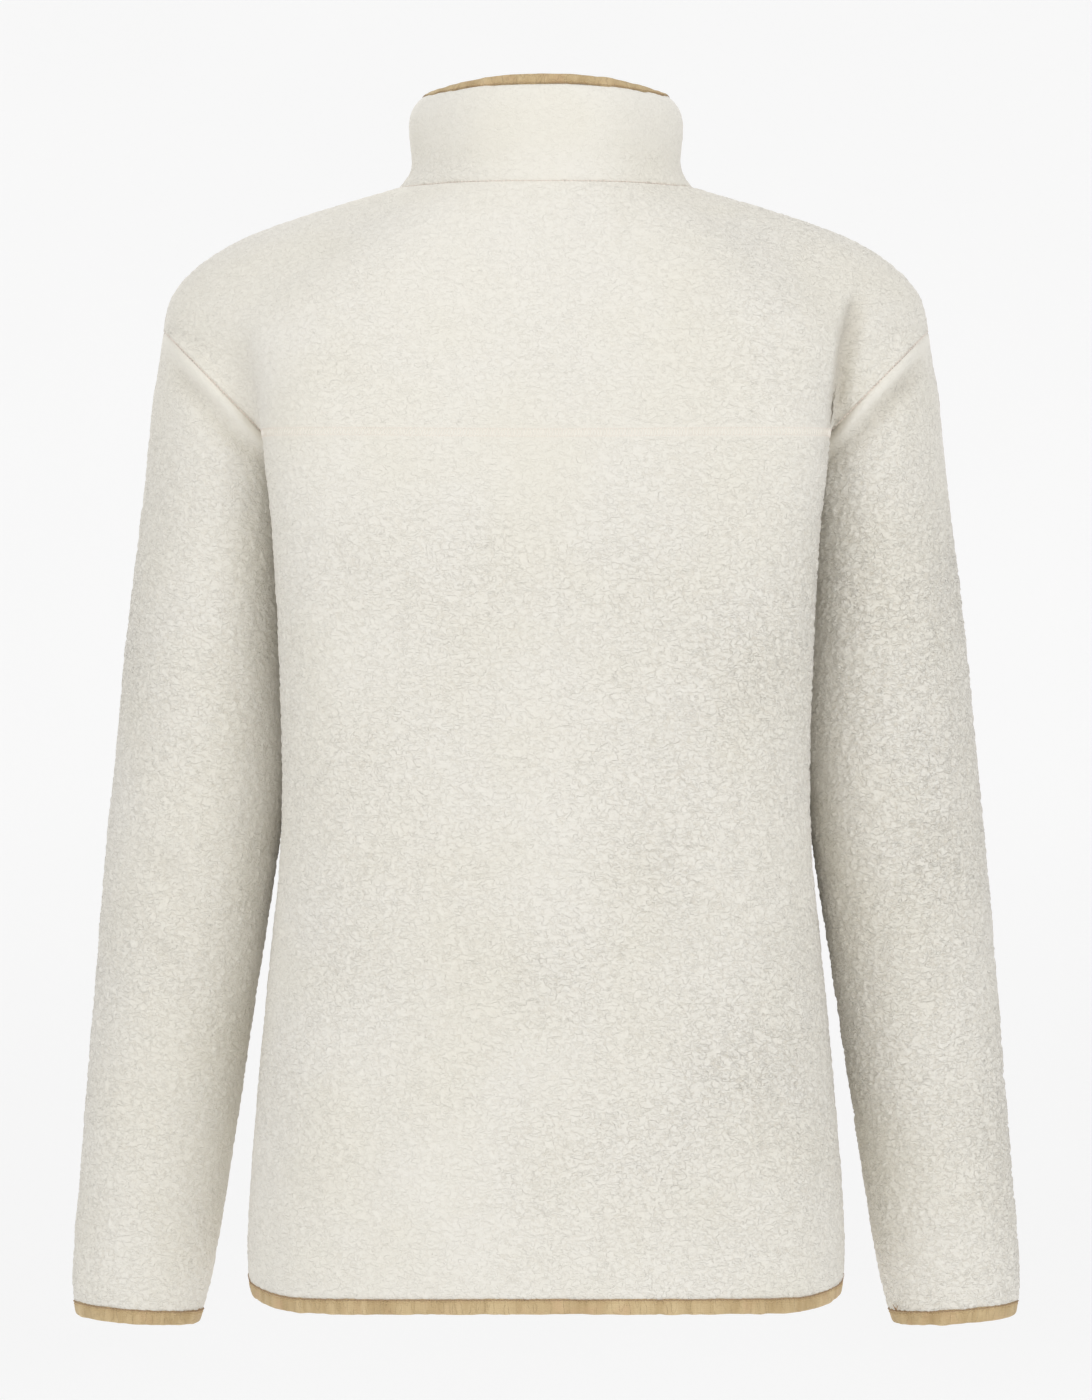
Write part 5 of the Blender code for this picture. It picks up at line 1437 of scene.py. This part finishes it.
def armhole_line(side):
    """An armhole's seam, with the directions out of the cloth."""
    turns = np.linspace(2.0, 358.0, 500)
    rows = sleeve_points([0.0, 0.01], turns, side)
    return rows[0], grid_normals(rows)[0]


def neck_line():
    """The neck's seam, with the directions out of the cloth."""
    rows = collar_fine(np.array([0.0, 0.04]), 0.003)
    return rows[0], grid_normals(rows)[0]


def side_line(side):
    """A side seam, with the directions out of the cloth."""
    levels = np.linspace(ARMHOLE_FOOT[1] - 0.004, HEM_LEVEL + BINDING_WIDTH + 0.001, 400)
    points = edge_points(levels, 1) * np.array([side, 1.0, 1.0])
    return points, np.broadcast_to(np.array([float(side), 0.0, 0.0]), points.shape)


def shoulder_line(side):
    """A shoulder's seam, with the directions out of the cloth."""
    levels = np.linspace(NECK_LEVEL - 0.002, ARMHOLE_TOP[1] + 0.004, 300)
    points = edge_points(levels, 1) * np.array([side, 1.0, 1.0])
    slope = unit(np.gradient(points, axis=0))
    return points, np.stack([-side * slope[:, 2], np.zeros(len(points)), side * slope[:, 0]], -1)


# ------------------------------------------------------------------ zip

TAPE_FROM_MIDDLE, TAPE_COLUMNS = 0.0028, 9
CORE_HALF, CORE_HALF_DEPTH = 0.0026, 0.0004
COIL_INNER = 0.45  # how far a tooth reaches past the middle, as a share of its reach to its own side
COIL_REACH, COIL_RADIUS, COIL_PITCH = 0.0023, 0.00062, 0.0013


def zip_lines(count=420):
    """The zip's middle and a tape's outer edge from the hem up, and the way into the jacket."""
    levels = np.linspace(HEM_LEVEL, NECK_LEVEL, count)
    heights = np.linspace(0.0, 1.0, count // 8)[1:]
    lines = []
    for share in (0.0, TAPE_SHARE):
        body = body_points(levels, [share], -1, 1)[:, 0]
        collar = collar_points(heights, [share], -1, 1)[:, 0]
        lines.append(np.concatenate([body, collar]))
    lines[0][:, 0] = 0.0
    steps = np.linalg.norm(np.diff(lines[0], axis=0), axis=1)
    run = np.concatenate([[0.0], np.cumsum(steps)])
    slope = unit(np.gradient(lines[0], axis=0))
    inward = np.stack([np.zeros(len(slope)), slope[:, 2], -slope[:, 1]], -1)
    from_end = np.minimum(run, run[-1] - run)
    bound = 1.0 - smooth_step((from_end - BINDING_WIDTH - 0.0015) / BOUND_EASE)
    under = BOUND_DIP + BOUND_CLOTH + SEAM_GAP + BINDING_THICKNESS
    depth = CLOTH + (under - CLOTH) * bound + TAPE_CLEARANCE
    return *lines, inward, depth, run


def zip_tape(name, side, finish):
    """A woven tape beside the coil, and the size of its cut."""
    middle, outer, inward, depth, run = zip_lines()
    mirror = np.array([side, 1.0, 1.0])
    near_line = middle + np.array([side * TAPE_FROM_MIDDLE, 0.0, 0.0])
    shares = np.linspace(0.0, 1.0, TAPE_COLUMNS)
    face = np.stack([near_line + (outer * mirror - near_line) * share for share in shares])
    face = face + inward * depth[:, None]
    rings = np.concatenate([face, (face + inward * TAPE_THICKNESS)[::-1]])
    width = float(np.linalg.norm(face[-1] - face[0], axis=1).mean())
    across = np.concatenate([shares, shares[::-1]])[:, None] * width
    shape = rings.shape[:2]
    fields = {"along": np.broadcast_to(run, shape), "across": np.broadcast_to(across, shape)}
    piece = swept(name, rings, finish, False, fields)
    return piece, (width, float(run[-1]), width * float(run[-1]))


def zip_coil(finish):
    """The closed coil: teeth from both sides meshed over a flat core."""
    middle, _, inward, depth, run = zip_lines()
    low, high = CHAIN_END, run[-1] - CHAIN_END
    heart_line = middle + inward * (depth + TAPE_THICKNESS / 2)[:, None]
    chained = (run > low) & (run < high)
    core = heart_line[chained]
    deep = inward[chained]
    corners = ((1, -1), (-1, -1), (-1, 1), (1, 1))
    sideways = np.array([1.0, 0.0, 0.0])
    rings = [core + sideways * CORE_HALF * x + deep * CORE_HALF_DEPTH * out for x, out in corners]
    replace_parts(swept("zip_core", np.stack(rings), finish), "zip_chain")
    count = int((high - low) / COIL_PITCH)
    at = low + COIL_PITCH * (np.arange(count) + 0.5)

    def read(places, values):
        return np.stack([np.interp(places, run, values[:, i]) for i in range(3)], -1)

    hearts, half = read(at, heart_line), read(at + COIL_PITCH / 2, heart_line)
    outs = -unit(read(at, inward))
    reach = sideways * COIL_REACH
    starts = np.concatenate([hearts + reach, half - reach])
    ends = np.concatenate([hearts - reach * COIL_INNER, half + reach * COIL_INNER])
    threads("zip_teeth", starts, ends, np.concatenate([outs, outs]), COIL_RADIUS, finish, "zip_teeth")


# ------------------------------------------------------------------ sizes and colours to change

def colour_property(name, description, default):
    return bpy.props.FloatVectorProperty(
        name=name, description=description, default=default, subtype="COLOR", size=3, min=0.0, max=1.0,
    )


def length_property(name, description, default, low, high):
    return bpy.props.FloatProperty(
        name=name, description=description, default=default, min=low, max=high, unit="LENGTH", precision=5,
    )


class FleeceSettings(bpy.types.PropertyGroup):
    """The pile fabric."""

    colour: colour_property("Fleece", "Colour of the pile", (0.850, 0.824, 0.750))
    crumb_size: length_property("Crumb size", "Width of a crumb", 0.0043, 0.002, 0.012)
    crumb_height: length_property("Crumb height", "How far a crumb stands out", 0.0007, 0.0, 0.003)
    pile_spacing: length_property(
        "Pile spacing", "Distance between points on the pile side", 0.00173, 0.0012, 0.01,
    )


class TrimSettings(bpy.types.PropertyGroup):
    """The bindings and the sewing."""

    binding_colour: colour_property("Binding", "Colour of the elastic tape", (0.610, 0.465, 0.255))
    thread_colour: colour_property("Light thread", "Colour of the yoke seam's ticks", (0.92, 0.88, 0.80))
    seam_colour: colour_property("Seam thread", "Colour of the thread in the seams", (0.86, 0.76, 0.68))
    pale_colour: colour_property("Pale thread", "Colour of the rows beside the ticks", (0.90, 0.82, 0.75))
    shade_colour: colour_property("Dark thread", "Colour of the bindings' dark dots", (0.40, 0.26, 0.15))
    binding_spacing: length_property(
        "Binding spacing", "Distance between points along a binding", 0.0015, 0.001, 0.01,
    )
    ladder_pitch: length_property(
        "Ladder pitch", "Distance between the yoke seam's ticks", 0.0019, 0.001, 0.006,
    )


class ZipSettings(bpy.types.PropertyGroup):
    """The zip on the front."""

    tape_colour: colour_property("Tape", "Colour of the woven tapes", (0.700, 0.560, 0.390))
    teeth_colour: colour_property("Teeth", "Colour of the coil", (0.760, 0.640, 0.480))
    metal_colour: colour_property("Metal", "Colour of the slider, pull and box", (0.620, 0.560, 0.470))


class StageSettings(bpy.types.PropertyGroup):
    """The studio."""

    backdrop_light: bpy.props.FloatProperty(
        name="Backdrop light", description="Strength of the backdrop's own light",
        default=1.0, min=0.0, max=4.0, subtype="FACTOR",
    )
    light_power: bpy.props.FloatProperty(
        name="Light power", description="Power that each soft light is a share of",
        default=15.0, min=0.0, unit="POWER",
    )


GROUPS = {
    "jacket_fleece": FleeceSettings,
    "jacket_trim": TrimSettings,
    "jacket_zip": ZipSettings,
    "jacket_stage": StageSettings,
}

# ------------------------------------------------------------------ operators

SIDES = (("left", 1), ("right", -1))
LINES_SPACING = 1.5  # of a bound edge's own line, as a share of the binding's spacing
# Depth of the stitches in their seam, and their radius.
NECK_THREAD = (0.0010, 0.00038)
ARMHOLE_THREAD = (0.0004, 0.00034)
BODY_THREAD = (0.0011, 0.00032)


def pile_finish(settings):
    """The fleece's finish, made once for all the operators that use it."""
    return bpy.data.materials.get(PILE_NAME) or fleece_finish(settings)


class JacketOperator(bpy.types.Operator):
    """Shared by the steps that build the jacket"""

    bl_options = {"REGISTER", "UNDO"}


class JACKET_OT_body(JacketOperator):
    """Builds the yoke, the back and both fronts"""

    bl_idname = "jacket.body"
    bl_label = "Body panels"

    def execute(self, context):
        settings = context.scene.jacket_fleece
        finish = pile_finish(settings)
        declare(*back_yoke_piece(finish, settings), "back_yoke")
        declare(*back_panel_piece(finish, settings), "back_panel")
        for name, side in SIDES:
            declare(*front_fleece_piece("fleece_front_" + name, side, finish, settings), "front_" + name)
        return {"FINISHED"}


class JACKET_OT_sleeves(JacketOperator):
    """Builds both sleeves"""

    bl_idname = "jacket.sleeves"
    bl_label = "Sleeves"

    def execute(self, context):
        settings = context.scene.jacket_fleece
        finish = pile_finish(settings)
        for name, side in SIDES:
            declare(*sleeve_piece("fleece_sleeve_" + name, side, finish, settings), "sleeve_" + name)
        return {"FINISHED"}


class JACKET_OT_collar(JacketOperator):
    """Builds the stand collar"""

    bl_idname = "jacket.collar"
    bl_label = "Collar"

    def execute(self, context):
        settings = context.scene.jacket_fleece
        declare(*collar_fleece_piece(pile_finish(settings), settings), "collar")
        return {"FINISHED"}


class JACKET_OT_bindings(JacketOperator):
    """Builds the bindings of the hem, the cuffs and the collar, with their stitching"""

    bl_idname = "jacket.bindings"
    bl_label = "Bindings"

    def execute(self, context):
        trim = context.scene.jacket_trim
        finish = binding_finish(trim)
        stitches = thread_finish("tape_thread", tinted(trim.binding_colour, (1.12, 1.12, 1.12)))
        dark = thread_finish("dark_thread", trim.shade_colour)
        spacing = trim.binding_spacing * LINES_SPACING
        edges = (
            ("hem_binding", hem_lines(spacing), False, None, DOT_RADIUS),
            ("cuff_binding_left", cuff_lines(1, spacing), True, None, DOT_RADIUS),
            ("cuff_binding_right", cuff_lines(-1, spacing), True, None, DOT_RADIUS),
            ("collar_binding", collar_lines(spacing), False, collar_taper, COLLAR_DOT_RADIUS),
        )
        for node, lines, closed, taper, dot in edges:
            piece, cut, strip = binding_piece("tape_" + node, *lines, finish, trim, closed, taper)
            declare(piece, cut, node)
            zigzag("stitches_" + node, strip, STITCH_ROW, STITCH_RADIUS, stitches)
            zigzag("dots_" + node, strip, DOT_ROW, dot, dark)
            if node in LOOSE_ENDS:
                loose_ends(node, strip, dark)
        return {"FINISHED"}


class JACKET_OT_sewing(JacketOperator):
    """Sews the yoke's flat seam and the thread that shows in the other seams"""

    bl_idname = "jacket.sewing"
    bl_label = "Sewing"

    def execute(self, context):
        trim = context.scene.jacket_trim
        light = thread_finish("light_thread", trim.thread_colour)
        seam = thread_finish("seam_thread", trim.seam_colour)
        yoke_ladder(light, thread_finish("pale_thread", trim.pale_colour), trim)
        seam_threads("thread_neck", *neck_line(), seam, *NECK_THREAD)
        for name, side in SIDES:
            seam_threads("thread_armhole_" + name, *armhole_line(side), seam, *ARMHOLE_THREAD)
            seam_threads("thread_side_" + name, *side_line(side), seam, *BODY_THREAD)
            seam_threads("thread_shoulder_" + name, *shoulder_line(side), seam, *BODY_THREAD)
        return {"FINISHED"}


class JACKET_OT_zip(JacketOperator):
    """Builds the zip's tapes and coil, and finishes its metal parts"""

    bl_idname = "jacket.zip"
    bl_label = "Zip"

    def execute(self, context):
        settings = context.scene.jacket_zip
        tape = tape_finish(settings)
        for name, side in SIDES:
            declare(*zip_tape("woven_zip_tape_" + name, side, tape), "zip_tape_" + name)
        zip_coil(teeth_finish(settings))
        metal = metal_finish(settings)
        for node in ("zip_slider", "zip_pull", "zip_bottom_box"):
            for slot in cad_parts[node].material_slots:
                slot.material = metal
        return {"FINISHED"}


class JACKET_OT_stage(JacketOperator):
    """Sets up the pale studio, its lights and the camera"""

    bl_idname = "jacket.stage"
    bl_label = "Studio"

    def execute(self, context):
        settings = context.scene.jacket_stage
        backdrop(context.scene, settings)
        lights(context.scene, settings)
        camera(context.scene)
        return {"FINISHED"}


# ------------------------------------------------------------------ studio

CAMERA_Y, CAMERA_Z, PICTURE_HEIGHT, SENSOR = 3.2, -0.318, 0.868, 36.0
FLOOR_Z, SWEEP_STEPS = -1.35, 25
SWEEP_RADIUS, SWEEP_FRONT, SWEEP_REAR, SWEEP_HALF_WIDTH, SWEEP_TOP = 0.9, 6.5, -5.0, 6.5, 4.5
BACKDROP_GREY, BACKDROP_GLOW, ROOM_LIGHT = (0.44, 0.46), 0.57, 0.58
WHITE, WARM_WHITE = (1.0, 1.0, 1.0), (1.0, 0.997, 0.99)

# Each light's name, place, target, size, share of the power setting, and colour.
LIGHTS = (
    ("key", (2.1, 2.75, 1.2), (0.0, 0.05, -0.25), 2.2, 0.95, WARM_WHITE),
    ("front", (0.0, 3.9, 0.2), (0.0, 0.05, -0.32), 2.8, 1.0, WHITE),
    ("top", (0.0, 0.9, 2.7), (0.0, 0.0, -0.15), 2.0, 1.3, WHITE),
    ("fill", (-2.3, 2.6, 0.3), (0.0, 0.05, -0.35), 2.4, 1.05, WHITE),
    ("far_side", (0.4, -2.6, 0.8), (0.0, -0.05, -0.35), 2.0, 1.6, WHITE),
)


def backdrop(scene, settings):
    """A pale floor that sweeps up into a wall, behind the jacket as the camera sees it."""
    curve = [(SWEEP_FRONT, FLOOR_Z)]
    for turn in np.radians(np.linspace(0.0, 90.0, SWEEP_STEPS)):
        y = SWEEP_REAR + SWEEP_RADIUS - SWEEP_RADIUS * math.sin(turn)
        curve.append((y, FLOOR_Z + SWEEP_RADIUS * (1.0 - math.cos(turn))))
    curve.append((SWEEP_REAR, SWEEP_TOP))
    points = [(x, y, z) for x in (-SWEEP_HALF_WIDTH, SWEEP_HALF_WIDTH) for y, z in curve]
    count = len(curve)
    faces = [(i, i + 1, count + i + 1, count + i) for i in range(count - 1)]
    mesh = bpy.data.meshes.new("backdrop")
    mesh.from_pydata(points, [], faces)
    mesh.shade_smooth()
    graph = Graph("backdrop_paper")
    low, high = BACKDROP_GREY
    mesh.materials.append(graph.finish(
        Base_Color=graph.mix(graph.noise(graph.place(), 3.0), (low,) * 3, (high,) * 3),
        Roughness=0.9,
        Emission_Color=(settings.backdrop_light * BACKDROP_GLOW,) * 3,
        Emission_Strength=1.0,
    ))
    obj = bpy.data.objects.new("backdrop", mesh)
    scene.collection.objects.link(obj)


def lights(scene, settings):
    """Five large soft lights round the jacket, in a white room."""
    for name, place, target, size, share, colour in LIGHTS:
        data = bpy.data.lights.new(name, "AREA")
        data.shape = "DISK"
        data.size, data.energy, data.color = size, settings.light_power * share, colour
        obj = bpy.data.objects.new(name, data)
        obj.location = place
        obj.rotation_euler = (Vector(target) - Vector(place)).to_track_quat("-Z", "Y").to_euler()
        scene.collection.objects.link(obj)
    world = bpy.data.worlds.new("room")
    world.use_nodes = True
    surface = world.node_tree.nodes["Background"]
    surface.inputs["Color"].default_value = (*WHITE, 1.0)
    surface.inputs["Strength"].default_value = ROOM_LIGHT
    scene.world = world
    scene.view_settings.view_transform = "Standard"


def camera(scene):
    """The camera square to the back, at the height of the jacket's middle."""
    data = bpy.data.cameras.new("camera")
    data.sensor_fit = "VERTICAL"
    data.sensor_height = SENSOR
    data.lens = SENSOR * CAMERA_Y / PICTURE_HEIGHT
    obj = bpy.data.objects.new("camera", data)
    obj.location = (0.0, CAMERA_Y, CAMERA_Z)
    obj.rotation_euler = (math.radians(90.0), 0.0, math.radians(180.0))
    scene.collection.objects.link(obj)
    scene.camera = obj


class JACKET_PT_panel(bpy.types.Panel):
    """Lists the jacket's settings and building steps"""

    bl_idname = "JACKET_PT_panel"
    bl_label = "Jacket"
    bl_space_type = "VIEW_3D"
    bl_region_type = "UI"
    bl_category = "Jacket"

    def draw(self, context):
        for group in GROUPS:
            box = self.layout.box()
            settings = getattr(context.scene, group)
            for name in settings.bl_rna.properties.keys():
                if name not in ("rna_type", "name"):
                    box.prop(settings, name)
        for operator in OPERATORS:
            self.layout.operator(operator.bl_idname)


OPERATORS = (
    JACKET_OT_body,
    JACKET_OT_sleeves,
    JACKET_OT_collar,
    JACKET_OT_bindings,
    JACKET_OT_sewing,
    JACKET_OT_zip,
    JACKET_OT_stage,
)
CLASSES = (*GROUPS.values(), *OPERATORS, JACKET_PT_panel)


def register():
    for cls in CLASSES:
        bpy.utils.register_class(cls)
    for name, cls in GROUPS.items():
        setattr(bpy.types.Scene, name, bpy.props.PointerProperty(type=cls))


def unregister():
    for name in GROUPS:
        delattr(bpy.types.Scene, name)
    for cls in reversed(CLASSES):
        bpy.utils.unregister_class(cls)


def main():
    """Builds the jacket and its studio."""
    register()
    for operator in OPERATORS:
        family, step = operator.bl_idname.split(".")
        getattr(getattr(bpy.ops, family), step)()


if __name__ == "__main__":
    main()
